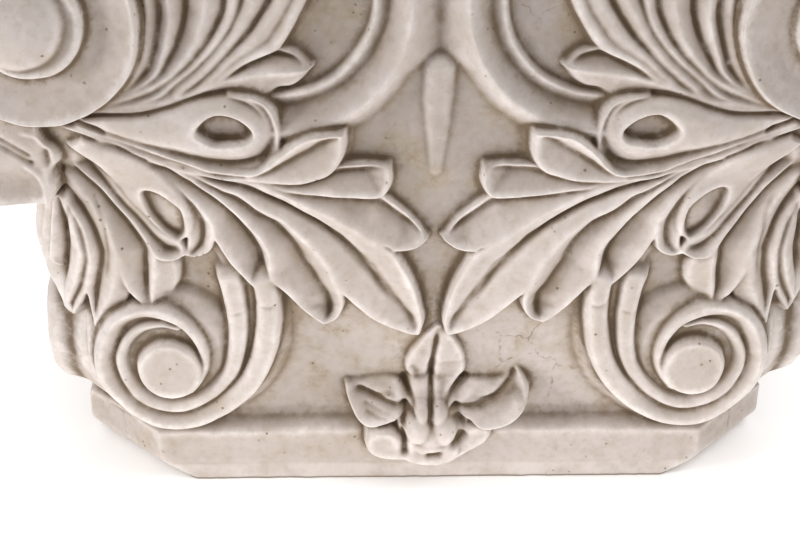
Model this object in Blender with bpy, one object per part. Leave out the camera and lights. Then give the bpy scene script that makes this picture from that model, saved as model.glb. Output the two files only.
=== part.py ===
"""Corinthian capital, one plaster cast.

Metres, +Z up. The origin is the middle of the underside.

The capital has four equal faces. A face is a relief: at the place x along it and
the height z, its surface stands F out from the capital's axis. Each ornament
raises F where it lies. The face is mitred on the diagonals, where F equals x,
and turned to the four sides.
"""

import bmesh
import bpy
import numpy as np

MM = 0.001
STEP = 3.0  # spacing of the relief's points
REACH = 264.0  # past the widest point of the relief
WEB = 2.0  # least width left on a diagonal where the relief dips below it
TRIANGLES = 9600

PLASTER = (0.66, 0.59, 0.545, 1)
PLASTER_ROUGHNESS = 0.85

# Block, in millimetres: heights, then distances out from the axis.
HEIGHT = 400.0
# Heights in the relief, and the same heights on the capital, whose slab is deeper.
RELIEF_HEIGHTS = (0, 8.5, 372, HEIGHT)
OWN_HEIGHTS = (0, 11, 374.5, HEIGHT)
SLAB_TOP = 33.0
ABACUS_FOOT = 366.0
PLANE = 210.0
PROFILE = (
    (0, 208.5), (1, 209.3), (8.5, 209.6), (10, 210), (30.5, 210), (32, 209), (36.5, 199.5),
    (40, 197), (60, 197), (90, 201), (120, 207), (170, 216), (200, 220), (250, 223), (300, 224),
    (350, 225), (362, 230), (370, 242), (372, 246), (HEIGHT, 246),
)
SLAB_CORNER = 370.0
SLAB_CORNER_IN = 22.0
SLAB_BEVEL = 15.0
ABACUS_CORNER = 440.0
ROUNDING = 7.0
CORNER_ROUNDING = 12.0
FILLET_STEEP = 8.0
FILLET_SLOPE = 1.4
SHEER = 60.0
EDGE_WORN = 0.4
MARGIN = 8.0  # of a window around a turned or banded shape
# A blade's valley: the width at which it is full, and how sharp it is.
BLADE_WIDTH = 17.0
VALLEY_POWER = 1.1
MARK_ENDS = 0.15
DISH_LIP = (0.6, 2.0)

# The leaf is a fan of hollow blades. Each rib, a sharp ridge, parts two blades and ends in
# the notch between their tips. Points are (a, z): off the face's middle, and up.
LEAF_ROOT = (181, 237)
LEAF_THICK = (13.0, 12.0, 45.0)
LEAF_THIN = (6.0, (118, 158), (222, 192))
RIB_TUBE = (
    (181, 240), (172, 236), (157, 229), (137, 224), (117, 219), (103, 217.5), (94, 221), (88, 229),
)
RIB_CUP = (
    (183, 237), (168, 230), (157, 226), (147, 222.5), (136, 218), (125, 214), (117, 210.5),
    (103, 208), (93, 209),
)
RIB_FIRST = (
    (192, 235), (182, 232), (173, 228), (164, 224.5), (150, 216.5), (140, 212), (118, 205.5),
    (100, 203), (87, 202), (76, 202),
)
RIB_SECOND = ((118, 205), (92, 201), (80, 197), (64, 194), (48, 192), (37, 191))
RIB_THIRD = ((118, 205), (99, 202.5), (82, 195), (70, 188), (57, 181), (46, 173), (34, 164))
RIB_FOURTH = (
    (150, 215.5), (133, 209), (122, 204), (112, 197.5), (104, 194), (95, 186), (83, 179), (74, 171),
    (65, 160), (58, 148), (54, 136),
)
RIB_FIFTH = (
    (150, 215), (140, 211.5), (131, 205), (124, 200), (112, 189), (101, 176), (94, 166), (90, 156),
    (90, 146),
)
RIB_SIXTH = (
    (172, 227), (163, 222), (153, 215), (146, 209), (137, 200), (130, 193), (125, 187), (120, 178),
    (119, 169),
)
BLADES = (
    (
        RIB_CUP + ((83.5, 218), (77, 224), (69, 229), (58, 231), (49, 231)),
        RIB_FIRST + ((64, 204.5), (56, 208), (51, 215), (49, 223), (49, 231)), 0.34, 7.5, (9, 3),
    ),
    (
        RIB_FIRST[6:] + ((64, 205), (53, 209), (42, 210), (25, 209)),
        RIB_SECOND + ((29, 192), (24.5, 200), (25, 209)), 0.2, 6.0, (-5, 0),
    ),
    (
        RIB_SECOND + ((29, 191), (20, 184), (12, 176), (4, 165)),
        RIB_THIRD + ((25, 160), (21, 157.5), (12, 159), (4, 165)), 0.2, 8.0, (-5, 0),
    ),
    (
        RIB_THIRD + ((22, 156), (16, 145), (11, 133), (8, 121), (6, 110), (8, 100)),
        RIB_FOURTH + ((49, 128), (36, 113.5), (27, 106.5), (15, 101), (8, 100)), 0.4, 6.5, (0, 0),
    ),
    (
        RIB_FOURTH + ((50, 126), (51, 118), (55, 110.5), (62, 107)),
        RIB_FIFTH + ((89, 139), (79, 126), (74, 119), (67, 111), (62, 107)), 0.4, 12.5, (0, 0),
    ),
    (
        RIB_FIFTH + ((90, 139), (94, 134.5), (98, 133)),
        RIB_SIXTH[3:] + ((117, 162), (111, 150), (103, 138.5), (98, 133)), 0.28, 13.0, (0, 0),
    ),
)
A_ROOT = (176, 243)
RIB_EDGE = (
    (190, 225), (184, 219), (178, 212), (173, 203), (168, 193), (162, 184), (155, 176), (150, 170),
    (144, 166),
)
A_RIBS = (
    (A_ROOT, (159, 259), (156, 275), (156, 300), (160, 320)),
    (A_ROOT, (158, 255), (151, 265), (146, 277), (144, 301), (147, 324)),
    (A_ROOT, (146, 260), (139, 271), (134, 289), (134, 302), (135, 332)),
    (A_ROOT, (141, 259), (131, 267), (123, 277), (118, 289), (115, 302), (115, 336)),
    (A_ROOT, (146, 250), (133, 259), (121, 269), (111, 280), (104, 291), (101, 302), (98, 330)),
    (A_ROOT, (137, 248.5), (128, 256), (115, 267), (104, 280), (97, 291), (91, 302), (84, 334)),
    (A_ROOT, (129, 252), (115, 261), (105, 271), (94, 280), (85, 291), (78, 302), (70, 326)),
    (
        A_ROOT, (129, 251), (112, 258), (99, 267), (84, 274), (79, 278), (71, 291), (66, 301),
        (58, 322),
    ),
)
A_TIPS = ((154, 338), (142, 346), (126, 352), (107, 356), (91, 354), (78, 348), (63, 336))
A_VALLEYS = (0.5, 0.55, 0.45, 0.60, 0.35, 0.60, 0.5)
A_DEPTHS = (8.5, 9.0, 8.5, 7.5, 6.0, 9.0, 0.8)
SPUR_RIDGE = (
    A_ROOT, (150, 244.5), (127, 251), (113, 257), (100, 261), (87, 263), (74, 264), (64, 265),
)
SPUR = (
    (
        (
            A_ROOT, (150, 246), (127, 253), (115, 260), (103, 266), (94, 271), (84, 275), (76, 274),
            (70, 271), (64, 265),
        ),
        SPUR_RIDGE, 0.3, 9.0, (-6, 0),
    ),
    (
        SPUR_RIDGE,
        (
            A_ROOT, (150, 243.5), (123, 251), (112, 253), (102, 253), (95, 251), (89, 249),
            (82, 253), (75, 254), (69, 258), (64, 265),
        ),
        0.5, 0.0, (0, -8),
    ),
)
TUBES = (
    (
        RIB_TUBE + ((87.5, 236),),
        (
            (181, 240), (167, 240.5), (150, 241.5), (137, 245), (123, 249.5), (110, 250.5),
            (102, 249), (95, 245), (90.5, 240.5), (87.5, 236),
        ),
        5.0,
    ),
    (
        RIB_EDGE + ((138, 163),),
        (
            (182, 229), (164, 222), (153, 216), (142, 205), (134, 195), (131, 186), (130, 177),
            (132, 169), (138, 163),
        ),
        4.5,
    ),
)
TUBE_WIDTH = 25.0
RIMS = (
    (
        (
            (172, 236), (157, 229), (137, 224), (117, 219), (103, 217.5), (94, 221), (88, 229),
            (88, 236), (91, 242.5), (97, 248), (107, 252),
        ),
        RIB_CUP[1:] + (
            (86, 212.5), (82.5, 220), (82, 230), (83.5, 239), (87.5, 246), (95, 250.5), (107, 252),
        ),
        0.5, 9.0, (1, 2),
    ),
    (
        (
            (181, 229), (164, 222), (153, 216), (142, 205), (136, 197), (133, 188), (133, 177),
            (133, 169), (134, 160), (136, 153),
        ),
        RIB_SIXTH[:8] + ((119, 171), (120, 163), (123, 157), (130, 153), (136, 153)), 0.55, 8.0,
        (0, 0),
    ),
)
HOLES = (
    (
        (
            (123, 233), (118, 239.5), (111, 242), (102, 239.5), (95, 232), (97, 227.5), (104, 226),
            (114, 226),
        ),
        10.0,
    ),
    (
        (
            (156, 193), (152, 195), (146, 193.5), (139, 189), (135, 184), (134, 176), (135, 169),
            (138, 165), (142, 167), (147, 171), (152, 178), (155, 186),
        ),
        7.0,
    ),
)

CORNER_THICK = (13.0, -8.0, 150.0, 36.0)
RIB_SEVENTH = (
    (196, 212), (190, 207), (183, 200), (176, 192), (170, 183), (163, 174), (158, 167), (153, 158),
)
RIB_EIGHTH = ((197, 203), (193, 199), (189, 192), (183, 183), (179, 174), (176, 166), (173, 157))
RIB_NINTH = ((199, 187), (197, 182), (194, 178), (190, 171), (188, 163), (187, 154), (188, 147))
CORNER_BLADES = (
    (
        RIB_EDGE + ((137, 162), (135, 156)), RIB_SEVENTH + ((149, 153), (142, 152), (135, 156)),
        0.55, 8.0, (0, 2),
    ),
    (
        RIB_SEVENTH + ((153, 149), (154, 140), (156, 129), (156, 121)),
        RIB_EIGHTH + ((172, 146), (170, 136), (165, 126), (156, 121)), 0.27, 9.5, (0, 0),
    ),
    (
        ((163, 174), (158, 167), (153, 158), (153, 149), (154, 140), (156, 129), (156, 121)),
        ((156, 168), (149, 157), (142, 150), (140, 141), (142, 132), (148, 124), (156, 121)), 0.5,
        0.0, (0, -9),
    ),
    (
        RIB_EIGHTH + ((174, 151), (175, 143), (178, 131), (186, 115), (192, 103)),
        RIB_NINTH + ((190, 139), (192, 130), (192, 115), (192, 103)), 0.62, 7.5, (0, 0),
    ),
    (
        ((176, 166), (173, 157), (174, 151), (175, 143), (178, 131), (186, 115), (192, 103)),
        ((175, 165), (171, 156), (169, 148), (168, 138), (170, 124), (178, 110.5), (192, 103)), 0.5,
        0.0, (0, -8),
    ),
    (
        RIB_NINTH + ((191, 134), (198, 120), (206, 107), (213, 99)),
        (
            (201, 187), (198, 179), (195, 170), (193, 160), (193, 152), (199, 136), (206, 121),
            (213, 99),
        ),
        0.5, 6.0, (0, 0),
    ),
    (
        (
            (201, 187), (198, 179), (195, 170), (193, 160), (193, 152), (199, 136), (206, 121),
            (213, 99),
        ),
        ((206, 187), (208, 175), (210, 160), (214, 140), (220, 120), (222, 99), (213, 99)), 0.45,
        7.0, (0, 0),
    ),
)
CORNER_PAD = (
    (160, 241), (158, 232), (166, 224), (176, 222), (184, 222), (188, 214), (190, 206), (193, 198),
    (197, 189), (204, 182), (216, 184), (218, 246), (186, 246),
)
CORNER_PAD_UNDER = 9.0
CORNER_PAD_SLOPE = 1.2

DART = ((0, 262), (0, 250), (0, 234), (0, 217), (0, 204))
DART_HALVES = (9.5, 9.3, 7.8, 5.8, 4)
DART_FOOT = (12.5, 10.0)
DART_RISE = (6.0, 1.5)
HELIX_CENTRE = (83, 299)
HELIX_PROFILE = ((49, 17), (51, 19), (57, 14), (66, 24), (69, 26), (72, 24), (80, 13), (82, 9))
HELIX_CLOSING = 0.24
HELIX_TURN = (0.1, 1.5)
HELIX_RIDGE = 72.0
HELIX_SPREAD = (0.45, 256, 16)
MOUND_CENTRE = (148, 90)
VOLUTE_MOUND = ((0, 8), (28, 7), (36, 2), (42, -5), (46, -10))
VOLUTE_EYE = (149, 82.5)
EYE_RADIUS = 17.5
EYE_HIGH = 17.0
COIL_OUTER = (
    (107, 160), (97, 146), (93, 132), (92, 118), (93, 104), (96.5, 88), (104, 73), (115, 61),
    (130, 51), (144, 47), (157, 48.5), (167, 55), (176.5, 64), (182.5, 73), (185, 82), (184.5, 91),
    (181.5, 102), (176, 111), (168, 116.5), (159, 118.5), (149, 117), (140, 112), (134, 105),
    (130, 96), (129, 86), (132, 76), (138, 67),
)
COIL_OUTER_HALVES = (6, 6, 6, 6, 6, 6, 6, 6.2, 6.5, 6.8, 7, 7, 6, 4.5, 3.6, 3, 2.2, 1.0)
COIL_INNER = (
    (122, 158), (114, 142), (110.5, 126), (109, 108), (110.5, 92), (116, 77), (128, 64),
    (142, 56.5), (156, 57.5), (168, 65), (174.5, 77), (176, 89), (171, 100), (163, 107),
    (152, 109.5), (143, 107),
)
COIL_INNER_HALVES = (6, 6, 5.5, 5, 4.2, 3.8, 3.6, 3.6, 3.6, 3.0, 2.4, 1.4)
COIL_FLOOR = (
    (112, 158), (104, 140), (101, 120), (101, 102), (104, 86), (113, 70), (131, 55), (145, 50),
    (158, 51), (169, 57), (178, 68), (182, 80), (181, 92), (176, 102), (167, 109.5), (157, 112),
    (147, 109.5), (139, 102), (134, 92),
)
COIL_FLOOR_HALVES = (10, 10, 10, 10, 9, 8, 8, 7.5, 7, 7, 6, 5)
OUTER_HIGH = 14.0
OUTER_DROP = 2.2
OUTER_SUNK = (12.0, 0.08)
RIDGE_DROP = 6.0
RIDGE_PLACE = -0.4
RIDGE_POWER = 1.3
RIDGE_RUN = (0.3, 0.82)
RIDGE_ENDS = 0.11
INNER_HIGH = 11.5
INNER_DROP = 1.5
INNER_SUNK = (10.0, 0.1)
INNER_LEAN = (0.4, 0.2, 1.5)
COIL_FLOOR_HIGH = 6.0
COIL_FLOOR_DROP = 2.0

BLOCK_EDGE = (
    (207, 250), (204, 236), (201.5, 228), (197, 224), (194.3, 219), (195.5, 214.5), (199.5, 210.5),
    (200.5, 206.5), (199.3, 202), (199.5, 196), (203, 191.5), (216, 190.5), (240, 190), (264, 190),
    (264, 250),
)
BLOCK_HIGH = 28.0
BLOCK_SLOPE = 16.0
# The disc, the ring on it and the boss: each one's centre, then its heights by radius.
DISC = (
    ((199, 290), ((0, 34), (28, 34), (34, 34.5), (49, 38.5), (51.5, 40))),
    ((200.5, 292), ((0, 41), (22, 42), (25.5, 43), (27, 42))),
    ((205.5, 293.5), ((0, 53), (8, 52.5), (16, 50), (21, 47), (23.5, 43.5))),
)
DISC_SLOPE = 12.0
# The fleuron's points are (x, z): its left and right petals differ.
FLEURON_OUT = (
    (20, 13), (38, 14), (46, 10), (54, 3), (60, -4), (64, -8), (70, -7), (80, -5.5), (107, -3),
)
PETALS = (
    (
        (
            (0, 53), (-6, 57), (-10, 62), (-14, 69), (-14, 76), (-11, 85), (-5, 94), (0, 101),
            (3, 103),
        ),
        ((2, 53), (8, 56), (13, 60), (19, 66), (20, 73), (18, 82), (13, 92), (7, 101), (3, 103)),
        0.45, 1.5, (1, 1),
    ),
    (
        ((-7, 49), (-10, 52), (-16, 57), (-20, 62), (-27, 64), (-36, 63), (-43, 61), (-50, 61)),
        ((-7, 47), (-19, 46), (-22, 44), (-31, 41.5), (-38, 42), (-44, 47), (-48, 54), (-50, 61)),
        0.42, 3.0, (-5, 1),
    ),
    (
        ((6, 50), (11, 53), (18, 58), (25, 61), (34, 61), (43, 62), (50, 68)),
        (
            (8, 48), (20, 45.5), (27, 43.5), (34, 42.5), (44, 45), (52, 50), (56, 56), (55, 62),
            (50, 68),
        ),
        0.45, 3.0, (-5, 4),
    ),
)
FLEURON_PADS = (
    (
        ((-18, 50), (0, 54), (16, 52), (21, 45), (20, 34), (15, 24), (0, 17), (-14, 20), (-18, 36)),
        -3.0,
    ),
    (
        (
            (-37, 34), (-30, 37.5), (-22, 36), (-17, 31), (-14, 25), (-15, 19), (-29, 19.5),
            (-37, 25),
        ),
        0.0,
    ),
    (((20, 40), (29, 41.5), (34, 38), (32, 31), (24, 25), (12, 18), (6, 24), (14, 34)), -1.0),
    (((-15, 30), (-9, 38), (8, 38), (14, 31), (15, 21), (4, 16), (-14, 18.5)), 1.5),
)
BULB_ROUND = 12.0
BULB_SLOPE = 2.0
BULBS = (
    ((-6, 48), (4.5, 8), 17), ((-8.5, 40), (8.5, 9), 22), ((4, 46), (6, 9), 16),
    ((6, 38), (9, 10), 20), ((-1, 35), (11, 10), 19.5), ((-2, 29), (13, 8), 18),
)
FLEURON_MARKS = (
    (((22, 44.5), (31, 44), (41, 46.5), (49, 51), (53, 57)), 4.2, 5.5),
    (((-15.5, 51), (-16, 43)), 2.2, -7.0), (((-16.5, 38), (-15.5, 25)), 2.0, -7.0),
    (((14, 49), (18, 43)), 2.4, -6.5), (((13, 30), (18, 36)), 2.6, -6.5),
    (((-14.5, 61), (-13, 56)), 2.6, -7.0), (((15, 55), (20, 61)), 2.4, -6.5),
    (((-1.5, 23.5), (4, 23.5)), 2.2, -4.5),
)


def smooth(x):
    x = np.clip(x, 0, 1)
    return x * x * (3 - 2 * x)


def curve(points, per=6):
    """A smooth line through the points (Catmull-Rom)."""
    p = np.array(points, float)
    p = np.vstack([2 * p[0] - p[1], p, 2 * p[-1] - p[-2]])
    t = np.linspace(0, 1, per, endpoint=False)[:, None]
    runs = []
    for a, b, c, d in zip(p, p[1:], p[2:], p[3:]):
        bend = 2 * a - 5 * b + 4 * c - d
        runs.append(b + 0.5 * ((c - a) * t + bend * t**2 + (3 * b - a - 3 * c + d) * t**3))
    return np.vstack(runs + [p[-2]])


def loop(points, per=6):
    """A smooth closed line through the points, its end not repeated."""
    count = len(points)
    line = curve([*points[-2:], *points, *points[:2]], per)
    return line[2 * per : (count + 2) * per]


def nearest(line, a, z):
    """For each point (a, z): how far along the line it is (0 to 1), its side, its distance."""
    steps = np.diff(line, axis=0)
    lengths = np.hypot(*steps.T)
    starts = np.concatenate([[0], np.cumsum(lengths)])
    best = np.full(a.shape, np.inf)
    along = np.zeros(a.shape)
    side = np.ones(a.shape)
    for (a0, z0), (da, dz), length, start in zip(line, steps, lengths, starts):
        part = np.clip(((a - a0) * da + (z - z0) * dz) / length**2, 0, 1)
        off_a = a - a0 - part * da
        off_z = z - z0 - part * dz
        distance = np.hypot(off_a, off_z)
        closer = distance < best
        best = np.where(closer, distance, best)
        along = np.where(closer, (start + part * length) / starts[-1], along)
        side = np.where(closer, np.where(da * off_z >= dz * off_a, 1.0, -1.0), side)
    return along, side, best


def within(ring, a, z):
    """1 at points inside the closed ring and -1 outside."""
    inside = np.zeros(a.shape, bool)
    for (a0, z0), (a1, z1) in zip(ring, np.roll(ring, -1, axis=0)):
        if z0 != z1:
            inside ^= ((z0 > z) != (z1 > z)) & (a < a0 + (z - z0) * (a1 - a0) / (z1 - z0))
    return np.where(inside, 1.0, -1.0)


def rounded(a, f, power=ROUNDING):
    share = np.clip(a / f, 0, 0.9999)
    return f * (1 - share**power) ** (1 / power)


class Relief:
    """A face: f is its distance from the axis over a grid of places x and heights z."""

    def __init__(self, x_axis, f=None):
        self.x_axis = x_axis
        self.z_axis = np.linspace(0, HEIGHT, round(HEIGHT / STEP) + 1)
        self.x, self.z = np.meshgrid(self.x_axis, self.z_axis)
        self.f = f

    def whole(self):
        """The whole face from its right half."""
        return Relief(
            np.concatenate([-self.x_axis[:0:-1], self.x_axis]),
            np.hstack([self.f[:, :0:-1], self.f]),
        )

    def window(self, points, margin=18):
        low = np.min(points, axis=0) - margin
        high = np.max(points, axis=0) + margin
        columns = slice(*np.searchsorted(self.x_axis, (low[0], high[0])))
        rows = slice(*np.searchsorted(self.z_axis, (low[1], high[1])))
        return rows, columns

    def over_wall(self, window, thickness, power=ROUNDING):
        """The surface that lies this thickness over the block's wall."""
        heights, distances = zip(*PROFILE)
        wall = np.interp(self.z[window], heights, distances)
        return rounded(np.abs(self.x[window]), wall + thickness, power)

    def stand(self, window, surface, inside, slope=5.0, edge=1.0, steep=FILLET_STEEP):
        """Raises f to the surface where inside > 0, with steep sides and a soft foot around it."""
        beyond = np.clip(-inside, 0, None)
        side = np.minimum(slope * beyond, steep + FILLET_SLOPE * beyond)
        worn = EDGE_WORN * np.clip(edge - inside, 0, edge) ** 2 / edge
        self.f[window] = np.maximum(self.f[window], surface - side - worn)


def block(relief):
    heights, distances = zip(*PROFILE)
    wall = np.interp(relief.z, heights, distances)
    lift = np.clip(1 - relief.z / SLAB_BEVEL, 0, 1) ** 2
    corner = np.where(relief.z < SLAB_TOP, SLAB_CORNER - lift * SLAB_CORNER_IN, ABACUS_CORNER)
    square = (relief.z < SLAB_TOP) | (relief.z > ABACUS_FOOT)
    cut = np.minimum(wall, corner - relief.x)
    relief.f = np.where(square, cut, rounded(relief.x, wall))


def blade(relief, shape, thickness, power=ROUNDING, out=None):
    """A hollow blade between its two edges, which meet at its tip."""
    first_points, second_points, valley, depth, rise = shape
    first = curve(first_points)
    second = curve(second_points)
    window = relief.window(np.vstack([first, second]))
    a = relief.x[window]
    z = relief.z[window]
    along, _, to_first = nearest(first, a, z)
    _, _, to_second = nearest(second, a, z)
    width = to_first + to_second
    inside = np.minimum(to_first, to_second) * within(np.vstack([first, second[::-1]]), a, z)
    share = to_first / np.maximum(width, 1e-6)
    down = np.where(share < valley, share / valley, (1 - share) / (1 - valley))
    high = ((1 - share) * rise[0] + share * rise[1]) * smooth(along)
    high -= depth * np.clip(width / BLADE_WIDTH, 0, 1) * down**VALLEY_POWER
    if out is None:
        surface = relief.over_wall(window, thickness(a, z) + high, power)
        relief.stand(window, surface, inside)
    else:
        relief.stand(window, PLANE + out(z) + high, inside, steep=SHEER)


def mark(relief, points, half, height):
    """A narrow rib or, with height below 0, a groove along the line."""
    line = curve(points)
    window = relief.window(line, margin=3 * half)
    along, _, distance = nearest(line, relief.x[window], relief.z[window])
    taper = smooth(along / MARK_ENDS) * smooth((1 - along) / MARK_ENDS)
    if len(points) < 4:
        taper = 1
    relief.f[window] += height * taper * np.exp(-((distance / half) ** 2))


def dish(relief, ring_points, depth):
    """A hollow with a flat floor inside the ring."""
    ring = loop(ring_points)
    window = relief.window(ring)
    a = relief.x[window]
    z = relief.z[window]
    inside = nearest(np.vstack([ring, ring[:1]]), a, z)[2] * within(ring, a, z)
    out, reach = DISH_LIP
    relief.f[window] -= depth * smooth((inside + out) / reach)


def leaf_thickness(a, z):
    tip, more, reach = LEAF_THICK
    thick = tip + more * np.exp(-np.hypot(a - LEAF_ROOT[0], z - LEAF_ROOT[1]) / reach)
    thin, (a0, a1), (z0, z1) = LEAF_THIN
    share = smooth((a - a0) / (a1 - a0)) * smooth((z - z0) / (z1 - z0))
    return thick + (thin - thick) * share


def corner_thickness(a, z):
    low, more, start, reach = CORNER_THICK
    return low + more * smooth((z - start) / reach)


def upper_fan(relief):
    for first, second, tip, valley, depth in zip(A_RIBS, A_RIBS[1:], A_TIPS, A_VALLEYS, A_DEPTHS):
        blade(relief, (first + (tip,), second + (tip,), valley, depth, (0, 0)), leaf_thickness)
    for shape in SPUR:
        blade(relief, shape, leaf_thickness)


def middle_fan(relief):
    for shape in BLADES:
        blade(relief, shape, leaf_thickness)


def corner_fan(relief):
    ring = loop(CORNER_PAD)
    window = relief.window(ring)
    a = relief.x[window]
    z = relief.z[window]
    inside = nearest(np.vstack([ring, ring[:1]]), a, z)[2] * within(ring, a, z)
    under = relief.over_wall(window, leaf_thickness(a, z) - CORNER_PAD_UNDER, CORNER_ROUNDING)
    relief.stand(window, under, inside, CORNER_PAD_SLOPE)
    for shape in CORNER_BLADES:
        blade(relief, shape, corner_thickness, CORNER_ROUNDING)


def eyelets(relief):
    for shape in RIMS:
        blade(relief, shape, leaf_thickness)
    for first_points, second_points, crest in TUBES:
        first = curve(first_points)
        second = curve(second_points)
        window = relief.window(np.vstack([first, second]))
        a = relief.x[window]
        z = relief.z[window]
        to_first = nearest(first, a, z)[2]
        to_second = nearest(second, a, z)[2]
        width = to_first + to_second
        inside = np.minimum(to_first, to_second) * within(np.vstack([first, second[::-1]]), a, z)
        across = 2 * to_first / np.maximum(width, 1e-6) - 1
        bulge = crest * np.clip(width / TUBE_WIDTH, 0, 1) * np.sqrt(1 - across**2)
        relief.stand(window, relief.over_wall(window, leaf_thickness(a, z) + bulge), inside)
    for ring, depth in HOLES:
        dish(relief, ring, depth)


def ribbon(relief, points, halves, section):
    line = curve(points)
    window = relief.window(line, margin=max(halves) + MARGIN)
    along, side, distance = nearest(line, relief.x[window], relief.z[window])
    half = np.interp(along, np.linspace(0, 1, len(halves)), halves)
    v = np.clip(side * distance / half, -1, 1)
    relief.stand(window, PLANE + section(v, along), half - distance)


def blend(ends, share):
    """From the first of the two ends, at share 0, to the second, at 1."""
    return ends[0] + (ends[1] - ends[0]) * share


def dart_section(v, t):
    return blend(DART_FOOT, t) + blend(DART_RISE, t) * (1 - v**4)


def dart(relief):
    ribbon(relief, DART, DART_HALVES, dart_section)


def helix(relief):
    radii, heights = zip(*HELIX_PROFILE)
    centre = np.array(HELIX_CENTRE)
    window = relief.window([centre - radii[-1], centre + radii[-1]])
    off_a = relief.x[window] - centre[0]
    off_z = relief.z[window] - centre[1]
    start, reach = HELIX_TURN
    over = smooth((np.arctan2(off_z, -off_a) - start) / reach)
    radius = np.hypot(off_a, off_z) / (1 - HELIX_CLOSING * over)
    spread, low, reach = HELIX_SPREAD
    wider = spread * smooth((relief.z[window] - low) / reach)
    radius -= wider * np.clip(radius - HELIX_RIDGE, 0, None)
    inside = np.minimum(radius - radii[0], radii[-1] - radius)
    relief.stand(window, PLANE + np.interp(radius, radii, heights), inside)


def outer_band(v, t):
    """Flat on the stem, a ridge near its outer edge round the volute."""
    sunk, end = OUTER_SUNK
    flat = OUTER_HIGH - OUTER_DROP * np.abs(v) ** 3 - sunk * smooth(2 - 2 * t / end)
    ridge = OUTER_HIGH - RIDGE_DROP * np.abs(v - RIDGE_PLACE) ** RIDGE_POWER
    start, stop = RIDGE_RUN
    share = smooth((t - start) / RIDGE_ENDS) * smooth((stop - t) / RIDGE_ENDS)
    return flat + (ridge - flat) * share


def inner_band(v, t):
    sunk, end = INNER_SUNK
    start, reach, lean = INNER_LEAN
    lean = lean * v * smooth((t - start) / reach)
    return INNER_HIGH - INNER_DROP * np.abs(v) ** 3 - lean - sunk * smooth(2 - 2 * t / end)


def floor_band(v, t):
    return COIL_FLOOR_HIGH - COIL_FLOOR_DROP * np.abs(v) + 0 * t


def volute(relief):
    radii, heights = zip(*VOLUTE_MOUND)
    window = relief.window([MOUND_CENTRE], margin=radii[-1] + MARGIN)
    radius = np.hypot(relief.x[window] - MOUND_CENTRE[0], relief.z[window] - MOUND_CENTRE[1])
    relief.stand(window, PLANE + np.interp(radius, radii, heights), radii[-1] - radius, steep=SHEER)
    ribbon(relief, COIL_FLOOR, COIL_FLOOR_HALVES, floor_band)
    ribbon(relief, COIL_INNER, COIL_INNER_HALVES, inner_band)
    ribbon(relief, COIL_OUTER, COIL_OUTER_HALVES, outer_band)
    window = relief.window([VOLUTE_EYE], margin=EYE_RADIUS + MARGIN)
    radius = np.hypot(relief.x[window] - VOLUTE_EYE[0], relief.z[window] - VOLUTE_EYE[1])
    relief.stand(window, PLANE + EYE_HIGH, EYE_RADIUS - radius)


def corner(relief):
    ring = curve(BLOCK_EDGE)
    window = relief.window(ring)
    a = relief.x[window]
    z = relief.z[window]
    inside = nearest(ring, a, z)[2] * within(ring, a, z)
    relief.stand(window, PLANE + BLOCK_HIGH + 0 * a, inside, BLOCK_SLOPE, steep=SHEER)
    for centre, profile in DISC:
        radii, heights = zip(*profile)
        window = relief.window([centre], margin=radii[-1] + MARGIN)
        radius = np.hypot(relief.x[window] - centre[0], relief.z[window] - centre[1])
        surface = PLANE + np.interp(radius, radii, heights)
        relief.stand(window, surface, radii[-1] - radius, DISC_SLOPE, steep=SHEER)


def fleuron_out(z):
    heights, distances = zip(*FLEURON_OUT)
    return np.interp(z, heights, distances)


def fleuron(relief):
    for ring_points, lift in FLEURON_PADS:
        ring = loop(ring_points)
        window = relief.window(ring)
        x = relief.x[window]
        z = relief.z[window]
        inside = nearest(np.vstack([ring, ring[:1]]), x, z)[2] * within(ring, x, z)
        relief.stand(window, PLANE + fleuron_out(z) + lift, inside, steep=SHEER)
    for shape in PETALS:
        blade(relief, shape, None, out=fleuron_out)
    for (x0, z0), (half_x, half_z), high in BULBS:
        window = relief.window([(x0, z0)], margin=max(half_x, half_z) + MARGIN)
        radius = np.hypot((relief.x[window] - x0) / half_x, (relief.z[window] - z0) / half_z)
        dome = high + BULB_ROUND * (np.sqrt(np.clip(1 - radius**2, 0, 1)) - 1)
        relief.stand(window, PLANE + dome, half_x * (1 - radius), BULB_SLOPE, steep=SHEER)
    for line, half, height in FLEURON_MARKS:
        mark(relief, line, half, height)


def carved_face():
    half = Relief(np.linspace(0, REACH, round(REACH / STEP) + 1))
    block(half)
    dart(half)
    helix(half)
    upper_fan(half)
    middle_fan(half)
    volute(half)
    corner_fan(half)
    eyelets(half)
    corner(half)
    face = half.whole()
    fleuron(face)
    return face


def mitred(relief):
    """The face's points, each row ending on the diagonals, and a grid of their numbers."""
    rows, columns = relief.f.shape
    middle = columns // 2
    points = np.empty((rows, columns, 3))
    index = np.empty((rows, columns), int)
    for row, (f, z) in enumerate(zip(relief.f, relief.z_axis)):
        right = f[middle:]
        axis = relief.x_axis[middle:]
        last = np.flatnonzero(right >= axis)[-1]
        gap = right[last : last + 2] - axis[last : last + 2]
        end = axis[last] + STEP * gap[0] / (gap[0] - gap[1])
        x = np.clip(relief.x_axis, -end, end)
        within_end = np.maximum(f, np.minimum(np.abs(x) + WEB, end))
        points[row, :, 0] = x
        points[row, :, 1] = -np.where(np.abs(relief.x_axis) < end, within_end, end)
        points[row, :, 2] = np.interp(z, RELIEF_HEIGHTS, OWN_HEIGHTS)
        column = np.clip(np.arange(columns), middle - last - 1, middle + last + 1)
        index[row] = row * columns + column
    return points.reshape(-1, 3) * MM, index


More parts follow.
